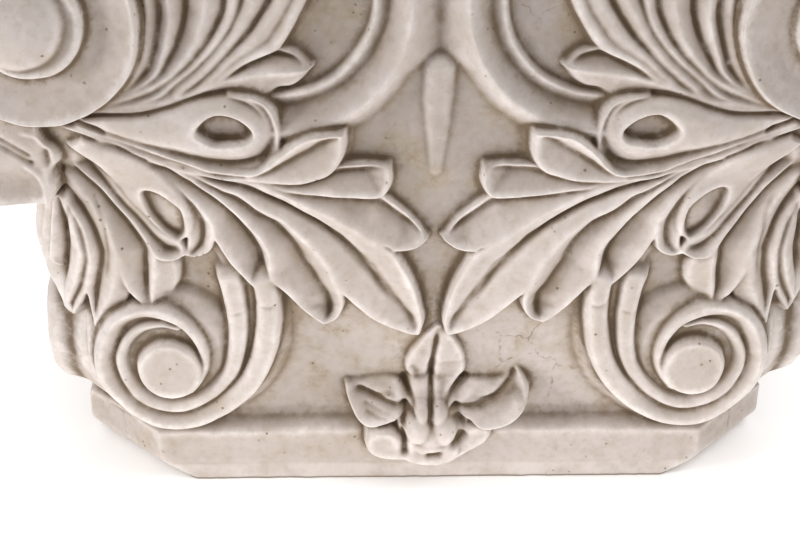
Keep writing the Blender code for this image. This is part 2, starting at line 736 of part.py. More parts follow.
def shell(points, index):
    """The closed surface: the face four times round, a cap below and one above."""
    bm = bmesh.new()
    for turn in range(4):
        x, y = points[:, 0], points[:, 1]
        for _ in range(turn):
            x, y = -y, x
        verts = {
            number: bm.verts.new((x[number], y[number], points[number, 2]))
            for number in np.unique(index)
        }
        for low, high in zip(index, index[1:]):
            for corners in zip(low, low[1:], high[1:], high):
                ring = list(dict.fromkeys(corners))
                if len(ring) > 2:
                    bm.faces.new([verts[number] for number in ring])
    bmesh.ops.remove_doubles(bm, verts=bm.verts, dist=1e-7)
    bmesh.ops.dissolve_degenerate(bm, edges=bm.edges, dist=1e-7)
    rim = [edge for edge in bm.edges if edge.is_boundary]
    bmesh.ops.holes_fill(bm, edges=rim, sides=0)
    bmesh.ops.recalc_face_normals(bm, faces=bm.faces)
    bmesh.ops.triangulate(bm, faces=bm.faces)
    return bm


def plaster():
    material = bpy.data.materials.new("plaster")
    material.use_nodes = True
    shader = material.node_tree.nodes["Principled BSDF"]
    shader.inputs["Base Color"].default_value = PLASTER
    shader.inputs["Roughness"].default_value = PLASTER_ROUGHNESS
    return material


def clear_scene():
    for old in list(bpy.data.objects):
        bpy.data.objects.remove(old)


def capital():
    bm = shell(*mitred(carved_face()))
    full = len(bm.faces)
    mesh = bpy.data.meshes.new("capital")
    bm.to_mesh(mesh)
    bm.free()
    mesh.materials.append(plaster())
    body = bpy.data.objects.new("capital", mesh)
    bpy.context.scene.collection.objects.link(body)
    thin = body.modifiers.new("Thin", "DECIMATE")
    thin.ratio = TRIANGLES / full
    return body


clear_scene()
capital()
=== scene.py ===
"""The look of the Corinthian capital: its carving, its plaster and the studio."""

from math import radians

import bmesh
import bpy
import numpy as np
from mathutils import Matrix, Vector


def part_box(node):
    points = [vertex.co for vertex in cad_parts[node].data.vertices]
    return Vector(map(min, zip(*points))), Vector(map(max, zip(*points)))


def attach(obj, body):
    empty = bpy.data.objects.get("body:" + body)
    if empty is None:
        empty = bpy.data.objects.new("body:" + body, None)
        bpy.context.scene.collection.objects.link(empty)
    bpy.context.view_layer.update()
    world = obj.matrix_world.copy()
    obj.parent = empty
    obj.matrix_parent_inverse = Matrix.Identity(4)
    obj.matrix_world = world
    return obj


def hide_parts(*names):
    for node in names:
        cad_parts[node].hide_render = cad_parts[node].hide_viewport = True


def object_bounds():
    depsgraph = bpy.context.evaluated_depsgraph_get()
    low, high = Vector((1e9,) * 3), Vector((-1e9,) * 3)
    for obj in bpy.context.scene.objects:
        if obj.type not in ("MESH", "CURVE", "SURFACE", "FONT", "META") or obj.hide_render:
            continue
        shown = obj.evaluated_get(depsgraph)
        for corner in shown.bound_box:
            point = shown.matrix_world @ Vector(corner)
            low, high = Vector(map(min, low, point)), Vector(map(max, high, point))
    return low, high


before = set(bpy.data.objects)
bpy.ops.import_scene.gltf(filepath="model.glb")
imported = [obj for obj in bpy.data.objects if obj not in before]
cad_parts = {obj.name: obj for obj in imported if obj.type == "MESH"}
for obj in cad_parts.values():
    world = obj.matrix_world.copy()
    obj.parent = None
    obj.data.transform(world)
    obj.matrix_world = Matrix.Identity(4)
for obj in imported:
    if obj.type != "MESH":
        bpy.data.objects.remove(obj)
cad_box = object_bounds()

# Sizes are in the capital's own millimetres, as its height in the frame gives them.
HEIGHT = 400.0
LOW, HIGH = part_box("capital")
MM = (HIGH[2] - LOW[2]) / HEIGHT

# The grid that a face is carved on: its spacing and half its width, past the diagonals.
STEP = 0.5
REACH = 264.0
# How far a face keeps outside the diagonal planes, short of its own edge on them.
WEB = 2.0
# Each side wall of a face's wedge goes in to an upright line this far out, then to the axis.
CORE = 150.0
# The ring inside a bed's edge, as a share of the way out, and what counts as in the bed.
BED_INSET = 0.985
BED_TOLERANCE = 1e-6
# Border points this near to a diagonal or a bed are put on it.
DIAGONAL_SNAP = 0.6
BED_SNAP = 0.4
TRIANGLES = 196000
# These keep a width off 0, a share under 1 and a place inside the grid's last cell.
TINY = 1e-6
ALMOST_ONE = 0.9999
UNDER_LAST = 1.001

# Each layer of noise: the size of its bumps, their height and a seed.
ROUGHNESS = ((9, 0.22, 31), (4, 0.12, 32), (2.2, 0.06, 33))
WAVINESS = ((34, 0.9, 10), (9, 0.3, 20))
STEADY_BED = 6.0
NOISE_CELLS = 32
BLUR_PASSES = 3

# Dirt and painted shade in the hollows, and wear and painted highlight on the ridges: over how many
# millimetres a height is averaged, and the difference that is full.
FINE_HOLLOW = (1.2, 0.8)
WIDE_HOLLOWS = ((6, 9), (3, 3.6))
RIDGE_WEAR_AND_HIGHLIGHT = (1.8, 1.1)
# The bare wall: how far out it still counts as bare, and over how far that ends.
BARE_FROM = 1.0
BARE_REACH = 7.0
# The slab's share of the hollows' dirt and painted shade and of bare wall, how far above its top it
# ends, and over how far.
SLAB_DIRT_AND_SHADE = 0.55
SLAB_DIRT_AND_SHADE_FADE = (14, 8)
SLAB_BARE = 0.3
SLAB_BARE_FADE = (10, 10)

PLASTER_WARM = (0.525, 0.45, 0.403, 1)
PLASTER_PALE = (0.585, 0.517, 0.483, 1)
PLASTER_STAINED = (0.45, 0.37, 0.28, 1)
# The rubbed colour is worn plaster and painted highlight; the grimes are dirt and, in hollows, painted
# shade, and the dark one is also the painted shadow line at the floor.
PLASTER_RUBBED_AND_HIGHLIGHT = (0.84, 0.772, 0.73, 1)
GRIME_AND_SHADE_PALE = (0.33, 0.252, 0.172, 1)
GRIME_AND_SHADE_DARK = (0.165, 0.115, 0.072, 1)
# The colour of the painted shade higher up the bare wall.
UPPER_WALL_SHADE_COLOUR = (0.26, 0.22, 0.20, 1)
# The plaster's noises: scale per metre, and for all but the first, detail and roughness.
CLOUD = (11.0,)
BLOTCH = (42.0, 7.0, 0.6)
FINE = (170.0, 6.0, 0.65)
GRAIN = (520.0, 4.0, 0.7)
# Each look, by the noise that it follows: the values where it starts and is full, and then its
# share at each of them, where those aren't 0 and 1.
PALE_CLOUD = (0.35, 0.65)
STAIN_BLOTCH = (0.52, 0.72, 0, 0.45)
STAIN_FINE = (0.46, 0.72, 0, 0.45)
WALL_STAIN = (0.45, 0.68, 0.0, 0.7)
WALL_GRIME_BLOTCH = (0.5, 0.7)
WALL_GRIME_FINE = (0.42, 0.68)
WALL_GRIME = 0.8
CRACK_CLOUD = (0.47, 0.6)
CRACK_FINE = (0.4, 0.6)
CRACK_SHARE = 0.6
# Dirt with painted shade in the wide and the fine hollows, and wear with painted highlight on ridges.
WIDE_DIRT_AND_SHADE = (0.40, 0.62, 0.45, 1.4)
CLOSE_DIRT_AND_SHADE = (0.40, 0.60, 0.5, 1.1)
RUBBED_AND_HIGHLIGHT = (0.40, 0.62, 0.9, 0.45)
SPECKS = (0.62, 0.72, 0.0, 0.30)
PIT_BLOTCH = (0.52, 0.62)
PIT_SHARE = 0.75
FOOT_STRIP_BLOTCH = (0.4, 0.6, 1.0, 0.5)
SHEEN = (0.3, 0.7, 0.72, 0.92)
# The patches of dirt and painted shade, and of wear and painted highlight, are blotches and fine
# noise in these amounts.
PATCHY_BLOTCH = 0.6
PATCHY_FINE = 0.5
# By height in metres: painted shade higher up the bare wall, a lighter strip at the foot, and a
# painted dark shadow line where the foot meets the floor.
WALL_UPPER_SHADE = (0.09, 0.19, 0.0, 0.38)
FOOT_STRIP = (0.0095, 0.0125, 0.4, 0.0)
FOOT_SHADOW_LINE = (0.0007, 0.0016, 0.75, 0.0)
# Cracks follow the seams between warped cells, and pinholes the middles of small ones.
CRACK_SCALE = 19.0
CRACK_WIDTH = (0.003, 0.014, 1.0, 0.0)
CRACK_SWAY_SCALE = 30.0
CRACK_SWAY = 0.03
PIT_SCALE = 150.0
PIT_EDGE = (0.09, 0.15, 1.0, 0.0)
BUMP_GRAIN = 0.5
BUMP_PIT = -1.5
BUMP_STRENGTH = 0.5
BUMP_HEIGHT = 0.0006

# The studio, in metres, degrees and watts. The floor's glow goes by the distance from its middle.
FLOOR_HALF = 6.0
FLOOR_COLOUR = (0.93, 0.93, 0.935, 1)
FLOOR_ROUGHNESS = 0.9
FLOOR_GLOW_COLOUR = (1, 0.985, 0.97, 1)
FLOOR_GLOW = (0.32, 1.2, 0.8, 0.4)
FLOOR_SHADOW_REACH = 0.12
FLOOR_SHADOW_SAMPLES = 16
WORLD_STRENGTH = 0.3
# Each lamp's name, place, target, size and power.
LAMPS = (
    ("key", (-1.3, -0.8, 0.55), (0, -0.15, 0.15), (0.45, 0.45), 8),
    ("top", (0.75, -0.55, 1.15), (0.1, -0.2, 0.25), (0.6, 0.6), 4),
    ("low", (0, -0.43, 0.03), (0, -0.2, 0.03), (0.6, 0.05), 0.24),
)
CAMERA_PLACE = (-0.0362, -0.9053, 0.4973)
CAMERA_TURN = (63, -0.312, -1.291)
LENS = 63
SENSOR = 36

# Heights in the relief, and the same heights on the capital, whose slab is deeper.
RELIEF_HEIGHTS = (0, 8.5, 372, HEIGHT)
OWN_HEIGHTS = (0, 11, 374.5, HEIGHT)
SLAB_TOP = 33.0
ABACUS_FOOT = 366.0
PLANE = 210.0
PROFILE = (
    (0, 208.5), (1, 209.3), (8.5, 209.6), (10, 210), (30.5, 210), (32, 209), (36.5, 199.5), (40, 197),
    (60, 197), (90, 201), (120, 207), (170, 216), (200, 220), (250, 223), (300, 224), (350, 225),
    (362, 230), (370, 242), (372, 246), (HEIGHT, 246),
)
SLAB_CORNER = 370.0
SLAB_CORNER_IN = 22.0
SLAB_BEVEL = 15.0
ABACUS_CORNER = 440.0
ROUNDING = 7.0
CORNER_ROUNDING = 12.0
# Past its edge a shape falls at EDGE_SLOPE for about FILLET_STEEP, then at FILLET_SLOPE, which
# makes a soft foot. SHEER in place of FILLET_STEEP leaves no foot. EDGE_WORN rounds the edge.
EDGE_SLOPE = 5.0
FILLET_STEEP = 8.0
FILLET_SLOPE = 1.4
SHEER = 60.0
EDGE_WORN = 0.4
# How far a window reaches around a shape: around a blade or ring, and a turned or banded one.
WIDE_MARGIN = 18.0
MARGIN = 8.0
# A blade's valley: the width at which it is full, and how sharp it is.
BLADE_WIDTH = 17.0
VALLEY_POWER = 1.1
# A mark's window in half widths, its faded ends, and the fewest points of one that fades.
MARK_REACH = 3
MARK_ENDS = 0.15
MARK_TAPERS_FROM = 4
# A hollow's edge: how far outside its ring it starts, and how far in it is full.
HOLE_LIP = (0.6, 2.0)
# The crease down a valley: its depth, its half width and the blade's width where it is full.
CREASE = 1.4
CREASE_HALF = 1.3
CREASE_WIDTH = 12.0

# The leaf is a fan of hollow blades. Each rib, a sharp ridge, parts two blades and ends in
# the notch between their tips. Points are (a, z): off the face's middle, and up. A blade is
# its two edges, its valley's place between them and depth, and how far each edge has risen
# at the tip.
LEAF_ROOT = (181, 237)
LEAF_THICK = (13.0, 12.0, 45.0)
LEAF_THIN = (6.0, (118, 158), (222, 192))
RIB_TUBE = (
    (181, 240), (172, 236), (157, 229), (137, 224), (117, 219), (103, 217.5), (94, 221), (88, 229),
)
RIB_CUP = (
    (183, 237), (168, 230), (157, 226), (147, 222.5), (136, 218), (125, 214), (117, 210.5), (103, 208),
    (93, 209),
)
RIB_FIRST = (
    (192, 235), (182, 232), (173, 228), (164, 224.5), (150, 216.5), (140, 212), (118, 205.5),
    (100, 203), (87, 202), (76, 202),
)
RIB_SECOND = ((118, 205), (92, 201), (80, 197), (64, 194), (48, 192), (37, 191))
RIB_THIRD = ((118, 205), (99, 202.5), (82, 195), (70, 188), (57, 181), (46, 173), (34, 164))
RIB_FOURTH = (
    (150, 215.5), (133, 209), (122, 204), (112, 197.5), (104, 194), (95, 186), (83, 179), (74, 171),
    (65, 160), (58, 148), (54, 136),
)
RIB_FIFTH = (
    (150, 215), (140, 211.5), (131, 205), (124, 200), (112, 189), (101, 176), (94, 166), (90, 156),
    (90, 146),
)
RIB_SIXTH = (
    (172, 227), (163, 222), (153, 215), (146, 209), (137, 200), (130, 193), (125, 187), (120, 178),
    (119, 169),
)
BLADES = (
    (RIB_CUP + ((83.5, 218), (77, 224), (69, 229), (58, 231), (49, 231)),
     RIB_FIRST + ((64, 204.5), (56, 208), (51, 215), (49, 223), (49, 231)), 0.34, 7.5, (9, 3)),
    (RIB_FIRST[6:] + ((64, 205), (53, 209), (42, 210), (25, 209)),
     RIB_SECOND + ((29, 192), (24.5, 200), (25, 209)), 0.2, 6.0, (-5, 0)),
    (RIB_SECOND + ((29, 191), (20, 184), (12, 176), (4, 165)),
     RIB_THIRD + ((25, 160), (21, 157.5), (12, 159), (4, 165)), 0.2, 8.0, (-5, 0)),
    (RIB_THIRD + ((22, 156), (16, 145), (11, 133), (8, 121), (6, 110), (8, 100)),
     RIB_FOURTH + ((49, 128), (36, 113.5), (27, 106.5), (15, 101), (8, 100)), 0.4, 6.5, (0, 0)),
    (RIB_FOURTH + ((50, 126), (51, 118), (55, 110.5), (62, 107)),
     RIB_FIFTH + ((89, 139), (79, 126), (74, 119), (67, 111), (62, 107)), 0.4, 12.5, (0, 0)),
    (RIB_FIFTH + ((90, 139), (94, 134.5), (98, 133)),
     RIB_SIXTH[3:] + ((117, 162), (111, 150), (103, 138.5), (98, 133)), 0.28, 13.0, (0, 0)),
)
# A mark is a line, its half width, and its height, below 0 for a groove.
LEAF_MARKS = (
    (((132, 212.5), (116, 206), (100, 199.5), (88, 193.5), (77, 187.5), (67, 181.5), (59, 175),
      (50, 162), (40, 149), (31, 136)), 0.8, 1.8),
    (((134, 209.5), (116, 203.5), (100, 197), (86, 190.5), (72, 182.5), (57, 171), (46, 157), (34, 141),
      (25, 127), (19, 118)), 1.3, -3.6),
    (((54, 170), (43, 156), (34, 143), (27, 133)), 0.8, -1.6),
    (((140, 213.5), (118, 207.5), (100, 205)), 1.0, -1.6),
    (((152, 214), (140, 208.5), (128, 202.5)), 1.0, -1.4),
)
# The upper fan: the ribs from its root, the tip between each two of them, and a spur below.
A_ROOT = (176, 243)
RIB_EDGE = (
    (190, 225), (184, 219), (178, 212), (173, 203), (168, 193), (162, 184), (155, 176), (150, 170),
    (144, 166),
)
A_RIBS = (
    ((159, 259), (156, 275), (156, 300), (160, 320)),
    ((158, 255), (151, 265), (146, 277), (144, 301), (147, 324)),
    ((146, 260), (139, 271), (134, 289), (134, 302), (135, 332)),
    ((141, 259), (131, 267), (123, 277), (118, 289), (115, 302), (115, 336)),
    ((146, 250), (133, 259), (121, 269), (111, 280), (104, 291), (101, 302), (98, 330)),
    ((137, 248.5), (128, 256), (115, 267), (104, 280), (97, 291), (91, 302), (84, 334)),
    ((129, 252), (115, 261), (105, 271), (94, 280), (85, 291), (78, 302), (70, 326)),
    ((129, 251), (112, 258), (99, 267), (84, 274), (79, 278), (71, 291), (66, 301), (58, 322)),
)
A_TIPS = ((154, 338), (142, 346), (126, 352), (107, 356), (91, 354), (78, 348), (63, 336))
A_VALLEYS = (0.5, 0.55, 0.45, 0.60, 0.35, 0.60, 0.5)
A_DEPTHS = (8.5, 9.0, 8.5, 7.5, 6.0, 9.0, 0.8)
SPUR_RIDGE = (A_ROOT, (150, 244.5), (127, 251), (113, 257), (100, 261), (87, 263), (74, 264), (64, 265))
SPUR = (
    ((A_ROOT, (150, 246), (127, 253), (115, 260), (103, 266), (94, 271), (84, 275), (76, 274),
      (70, 271), (64, 265)), SPUR_RIDGE, 0.3, 9.0, (-6, 0)),
    (SPUR_RIDGE,
     (A_ROOT, (150, 243.5), (123, 251), (112, 253), (102, 253), (95, 251), (89, 249), (82, 253),
      (75, 254), (69, 258), (64, 265)), 0.5, 0.0, (0, -8)),
)
# The two eyelets: the bulging tube beside each one, its rim and its hole.
TUBES = (
    (RIB_TUBE + ((87.5, 236),),
     ((181, 240), (167, 240.5), (150, 241.5), (137, 245), (123, 249.5), (110, 250.5), (102, 249),
      (95, 245), (90.5, 240.5), (87.5, 236)), 5.0),
    (RIB_EDGE + ((138, 163),),
     ((182, 229), (164, 222), (153, 216), (142, 205), (134, 195), (131, 186), (130, 177), (132, 169),
      (138, 163)), 4.5),
)
TUBE_WIDTH = 25.0
RIMS = (
    (RIB_TUBE[1:] + ((88, 236), (91, 242.5), (97, 248), (107, 252)),
     RIB_CUP[1:] + ((86, 212.5), (82.5, 220), (82, 230), (83.5, 239), (87.5, 246), (95, 250.5),
      (107, 252)), 0.5, 9.0, (1, 2)),
    (((181, 229), (164, 222), (153, 216), (142, 205), (136, 197), (133, 188), (133, 177), (133, 169),
      (134, 160), (136, 153)),
     RIB_SIXTH[:8] + ((119, 171), (120, 163), (123, 157), (130, 153), (136, 153)), 0.55, 8.0, (0, 0)),
)
HOLES = (
    (((123, 233), (118, 239.5), (111, 242), (102, 239.5), (95, 232), (97, 227.5), (104, 226),
      (114, 226)), 10.0),
    (((156, 193), (152, 195), (146, 193.5), (139, 189), (135, 184), (134, 176), (135, 169), (138, 165),
      (142, 167), (147, 171), (152, 178), (155, 186)), 7.0),
)
# The leaf that goes round the corner, on a soft pad.
CORNER_THICK = (13.0, -8.0, 150.0, 36.0)
RIB_SEVENTH = (
    (196, 212), (190, 207), (183, 200), (176, 192), (170, 183), (163, 174), (158, 167), (153, 158),
)
RIB_EIGHTH = ((197, 203), (193, 199), (189, 192), (183, 183), (179, 174), (176, 166), (173, 157))
RIB_NINTH = ((199, 187), (197, 182), (194, 178), (190, 171), (188, 163), (187, 154), (188, 147))
RIB_TENTH = (
    (201, 187), (198, 179), (195, 170), (193, 160), (193, 152), (199, 136), (206, 121), (213, 99),
)
SEVENTH_TIP = ((153, 149), (154, 140), (156, 129), (156, 121))
EIGHTH_TIP = ((174, 151), (175, 143), (178, 131), (186, 115), (192, 103))
CORNER_BLADES = (
    (RIB_EDGE + ((137, 162), (135, 156)), RIB_SEVENTH + ((149, 153), (142, 152), (135, 156)), 0.55, 8.0,
     (0, 2)),
    (RIB_SEVENTH + SEVENTH_TIP, RIB_EIGHTH + ((172, 146), (170, 136), (165, 126), (156, 121)), 0.27,
     9.5, (0, 0)),
    (RIB_SEVENTH[5:] + SEVENTH_TIP,
     ((156, 168), (149, 157), (142, 150), (140, 141), (142, 132), (148, 124), (156, 121)), 0.5, 0.0,
     (0, -9)),
    (RIB_EIGHTH + EIGHTH_TIP, RIB_NINTH + ((190, 139), (192, 130), (192, 115), (192, 103)), 0.62, 7.5,
     (0, 0)),
    (RIB_EIGHTH[5:] + EIGHTH_TIP,
     ((175, 165), (171, 156), (169, 148), (168, 138), (170, 124), (178, 110.5), (192, 103)), 0.5, 0.0,
     (0, -8)),
    (RIB_NINTH + ((191, 134), (198, 120), (206, 107), (213, 99)), RIB_TENTH, 0.5, 6.0, (0, 0)),
    (RIB_TENTH, ((206, 187), (208, 175), (210, 160), (214, 140), (220, 120), (222, 99), (213, 99)),
     0.45, 7.0, (0, 0)),
)
CORNER_PAD = (
    (160, 241), (158, 232), (166, 224), (176, 222), (184, 222), (188, 214), (190, 206), (193, 198),
    (197, 189), (204, 182), (216, 184), (218, 246), (186, 246),
)
CORNER_PAD_UNDER = 9.0
CORNER_PAD_SLOPE = 1.2
CORNER_MARKS = (
    (((184, 191), (180, 178), (178.5, 165), (178.5, 150), (181, 137)), 1.2, -1.6),
    (((196, 186), (200, 170), (203, 152), (206, 136)), 1.5, -2.0),
)
# The dart: its line, its half widths along it, and its heights at its top and its tip.
DART = ((0, 262), (0, 250), (0, 234), (0, 217), (0, 204))
DART_HALVES = (9.5, 9.3, 7.8, 5.8, 4)
DART_FOOT = (12.5, 10.0)
DART_RISE = (6.0, 1.5)
# The larger scroll above: heights by radius, closing in as it turns.
HELIX_CENTRE = (83, 299)
HELIX_PROFILE = ((49, 17), (51, 19), (57, 14), (66, 24), (69, 26), (72, 24), (80, 13), (82, 9))
HELIX_CLOSING = 0.24
HELIX_TURN = (0.1, 1.5)
HELIX_RIDGE = 72.0
HELIX_SPREAD = (0.45, 256, 16)
# The small scroll: a mound, a floor and two bands that coil to a round eye.
MOUND_CENTRE = (148, 90)
VOLUTE_MOUND = ((0, 8), (28, 7), (36, 2), (42, -5), (46, -10))
EYE_CENTRE = (149, 82.5)
EYE_RADIUS = 17.5
EYE_HIGH = 17.0
COIL_OUTER = (
    (107, 160), (97, 146), (93, 132), (92, 118), (93, 104), (96.5, 88), (104, 73), (115, 61), (130, 51),
    (144, 47), (157, 48.5), (167, 55), (176.5, 64), (182.5, 73), (185, 82), (184.5, 91), (181.5, 102),
    (176, 111), (168, 116.5), (159, 118.5), (149, 117), (140, 112), (134, 105), (130, 96), (129, 86),
    (132, 76), (138, 67),
)
COIL_OUTER_HALVES = (6, 6, 6, 6, 6, 6, 6, 6.2, 6.5, 6.8, 7, 7, 6, 4.5, 3.6, 3, 2.2, 1.0)
COIL_INNER = (
    (122, 158), (114, 142), (110.5, 126), (109, 108), (110.5, 92), (116, 77), (128, 64), (142, 56.5),
    (156, 57.5), (168, 65), (174.5, 77), (176, 89), (171, 100), (163, 107), (152, 109.5), (143, 107),
)
COIL_INNER_HALVES = (6, 6, 5.5, 5, 4.2, 3.8, 3.6, 3.6, 3.6, 3.0, 2.4, 1.4)
COIL_FLOOR = (
    (112, 158), (104, 140), (101, 120), (101, 102), (104, 86), (113, 70), (131, 55), (145, 50),
    (158, 51), (169, 57), (178, 68), (182, 80), (181, 92), (176, 102), (167, 109.5), (157, 112),
    (147, 109.5), (139, 102), (134, 92),
)
COIL_FLOOR_HALVES = (10, 10, 10, 10, 9, 8, 8, 7.5, 7, 7, 6, 5)
STEM_CRACKS = (
    (((86, 124), (91, 122), (97, 123), (101, 125)), 0.7, -1.3),
    (((106, 118), (111, 116), (116, 117)), 0.7, -0.9),
)
OUTER_HIGH = 14.0
OUTER_DROP = 2.2
OUTER_SUNK = (12.0, 0.08)
RIDGE_DROP = 6.0
RIDGE_PLACE = -0.4
RIDGE_POWER = 1.3
RIDGE_RUN = (0.3, 0.82)
RIDGE_ENDS = 0.11
INNER_HIGH = 11.5
INNER_DROP = 1.5
INNER_SUNK = (10.0, 0.1)
INNER_LEAN = (0.4, 0.2, 1.5)
COIL_FLOOR_HIGH = 6.0
COIL_FLOOR_DROP = 2.0

# The rough block behind the corner leaf.
BLOCK_EDGE = (
    (207, 250), (204, 236), (201.5, 228), (197, 224), (194.3, 219), (195.5, 214.5), (199.5, 210.5),
    (200.5, 206.5), (199.3, 202), (199.5, 196), (203, 191.5), (216, 190.5), (240, 190), (264, 190),
    (264, 250),
)
BLOCK_HIGH = 28.0
BLOCK_SLOPE = 16.0
BLOCK_MARKS = (
    (((230, 231), (222, 227), (210, 219)), 1.2, -2.6),
    (((230, 227.5), (222, 224), (209, 215)), 1.2, -2.4),
    (((230, 229.2), (222, 225.5), (210, 217)), 0.9, 1.2),
    (((214, 215), (207, 208), (203.5, 200), (202.5, 191)), 1.5, 1.8),
    (((238, 204), (224, 204), (213, 201)), 8.5, -3.8),
    (((214, 233), (203, 229), (198.5, 221), (197.5, 215)), 1.2, 1.4),
    (((200.5, 221), (200, 214)), 2.2, -2.6),
)
# The disc, the ring on it and the boss: each one's centre, then its heights by radius.
DISC = (
    ((199, 290), ((0, 34), (28, 34), (34, 34.5), (49, 38.5), (51.5, 40))),
    ((200.5, 292), ((0, 41), (22, 42), (25.5, 43), (27, 42))),
    ((205.5, 293.5), ((0, 53), (8, 52.5), (16, 50), (21, 47), (23.5, 43.5))),
)
DISC_SLOPE = 12.0
# The fleuron's points are (x, z): its left and right petals differ.
FLEURON_OUT = (
    (20, 13), (38, 14), (46, 10), (54, 3), (60, -4), (64, -8), (70, -7), (80, -5.5), (107, -3),
)
PETALS = (
    (((0, 53), (-6, 57), (-10, 62), (-14, 69), (-14, 76), (-11, 85), (-5, 94), (0, 101), (3, 103)),
     ((2, 53), (8, 56), (13, 60), (19, 66), (20, 73), (18, 82), (13, 92), (7, 101), (3, 103)), 0.45,
     1.5, (1, 1)),
    (((-7, 49), (-10, 52), (-16, 57), (-20, 62), (-27, 64), (-36, 63), (-43, 61), (-50, 61)),
     ((-7, 47), (-19, 46), (-22, 44), (-31, 41.5), (-38, 42), (-44, 47), (-48, 54), (-50, 61)), 0.42,
     3.0, (-5, 1)),
    (((6, 50), (11, 53), (18, 58), (25, 61), (34, 61), (43, 62), (50, 68)),
     ((8, 48), (20, 45.5), (27, 43.5), (34, 42.5), (44, 45), (52, 50), (56, 56), (55, 62), (50, 68)),
     0.45, 3.0, (-5, 4)),
)
FLEURON_PADS = (
    (((-18, 50), (0, 54), (16, 52), (21, 45), (20, 34), (15, 24), (0, 17), (-14, 20), (-18, 36)), -3.0),
    (((-37, 34), (-30, 37.5), (-22, 36), (-17, 31), (-14, 25), (-15, 19), (-29, 19.5), (-37, 25)), 0.0),
    (((20, 40), (29, 41.5), (34, 38), (32, 31), (24, 25), (12, 18), (6, 24), (14, 34)), -1.0),
    (((-15, 30), (-9, 38), (8, 38), (14, 31), (15, 21), (4, 16), (-14, 18.5)), 1.5),
)
FLEURON_MARKS = (
    (((3, 97), (2, 86), (1, 72), (0, 56)), 1.2, -4.0),
    (((1, 74), (0.5, 64), (0, 50)), 1.7, -3.5),
    (((-7, 49), (-16, 50), (-26, 52), (-36, 55.5), (-46, 59)), 1.2, -5.0),
    (((-22, 47), (-30, 48.5), (-39, 52)), 0.8, -1.8),
    (((-24, 44.5), (-31, 46), (-38, 48.5)), 0.8, -1.8),
    (((-21, 49), (-29, 51), (-37, 54.5)), 0.8, -1.4),
    (((9, 49.5), (22, 50), (30, 51), (42, 55)), 1.3, -5.5),
    (((40, 55), (46, 60), (50, 66)), 1.3, -4.0),
    (((22, 44.5), (31, 44), (41, 46.5), (49, 51), (53, 57)), 4.2, 5.5),
    (((-15.5, 51), (-16, 43)), 2.2, -7.0),
    (((-16.5, 38), (-15.5, 25)), 2.0, -7.0),
    (((14, 49), (18, 43)), 2.4, -6.5),
    (((13, 30), (18, 36)), 2.6, -6.5),
    (((-14.5, 61), (-13, 56)), 2.6, -7.0),
    (((15, 55), (20, 61)), 2.4, -6.5),
    (((-10, 71), (-8, 68)), 2.0, -1.6),
    (((-1.5, 23.5), (4, 23.5)), 2.2, -4.5),
)
BULB_ROUND = 12.0
BULB_SLOPE = 2.0
BULBS = (
    ((-6, 48), (4.5, 8), 17),
    ((-8.5, 40), (8.5, 9), 22),
    ((4, 46), (6, 9), 16),
    ((6, 38), (9, 10), 20),
    ((-1, 35), (11, 10), 19.5),
    ((-2, 29), (13, 8), 18),
)


def smooth(x):
    x = np.clip(x, 0, 1)
    return x * x * (3 - 2 * x)


def curve(points, per=6):
    """A smooth line through the points (Catmull-Rom)."""
    p = np.array(points, float)
    p = np.vstack([2 * p[0] - p[1], p, 2 * p[-1] - p[-2]])
    t = np.linspace(0, 1, per, endpoint=False)[:, None]
    runs = []
    for a, b, c, d in zip(p, p[1:], p[2:], p[3:]):
        bend = 2 * a - 5 * b + 4 * c - d
        runs.append(b + 0.5 * ((c - a) * t + bend * t**2 + (3 * b - a - 3 * c + d) * t**3))
    return np.vstack(runs + [p[-2]])


def loop(points, per=6):
    """A smooth line through the points and back to the first one."""
    count = len(points)
    line = curve([*points[-2:], *points, *points[:2]], per)
    return line[2 * per : (count + 2) * per + 1]


def nearest(line, a, z):
    """For each point (a, z): how far along the line it is (0 to 1), its side, its distance."""
    steps = np.diff(line, axis=0)
    lengths = np.hypot(*steps.T)
    starts = np.concatenate([[0], np.cumsum(lengths)])
    best = np.full(a.shape, np.inf)
    along = np.zeros(a.shape)
    side = np.ones(a.shape)
    for (a0, z0), (da, dz), length, start in zip(line, steps, lengths, starts):
        part = np.clip(((a - a0) * da + (z - z0) * dz) / length**2, 0, 1)
        off_a = a - a0 - part * da
        off_z = z - z0 - part * dz
        distance = np.hypot(off_a, off_z)
        closer = distance < best
        best = np.where(closer, distance, best)
        along = np.where(closer, (start + part * length) / starts[-1], along)
        side = np.where(closer, np.where(da * off_z >= dz * off_a, 1.0, -1.0), side)
    return along, side, best


def within(ring, a, z):
    """1 at points inside the closed ring and -1 outside."""
    inside = np.zeros(a.shape, bool)
    for (a0, z0), (a1, z1) in zip(ring, np.roll(ring, -1, axis=0)):
        if z0 != z1:
            inside ^= ((z0 > z) != (z1 > z)) & (a < a0 + (z - z0) * (a1 - a0) / (z1 - z0))
    return np.where(inside, 1.0, -1.0)


def rounded(a, f, power=ROUNDING):
    """The distance f at the place a, drawn in where a nears it, so that the corner is round."""
    share = np.clip(a / f, 0, ALMOST_ONE)
    return f * (1 - share**power) ** (1 / power)


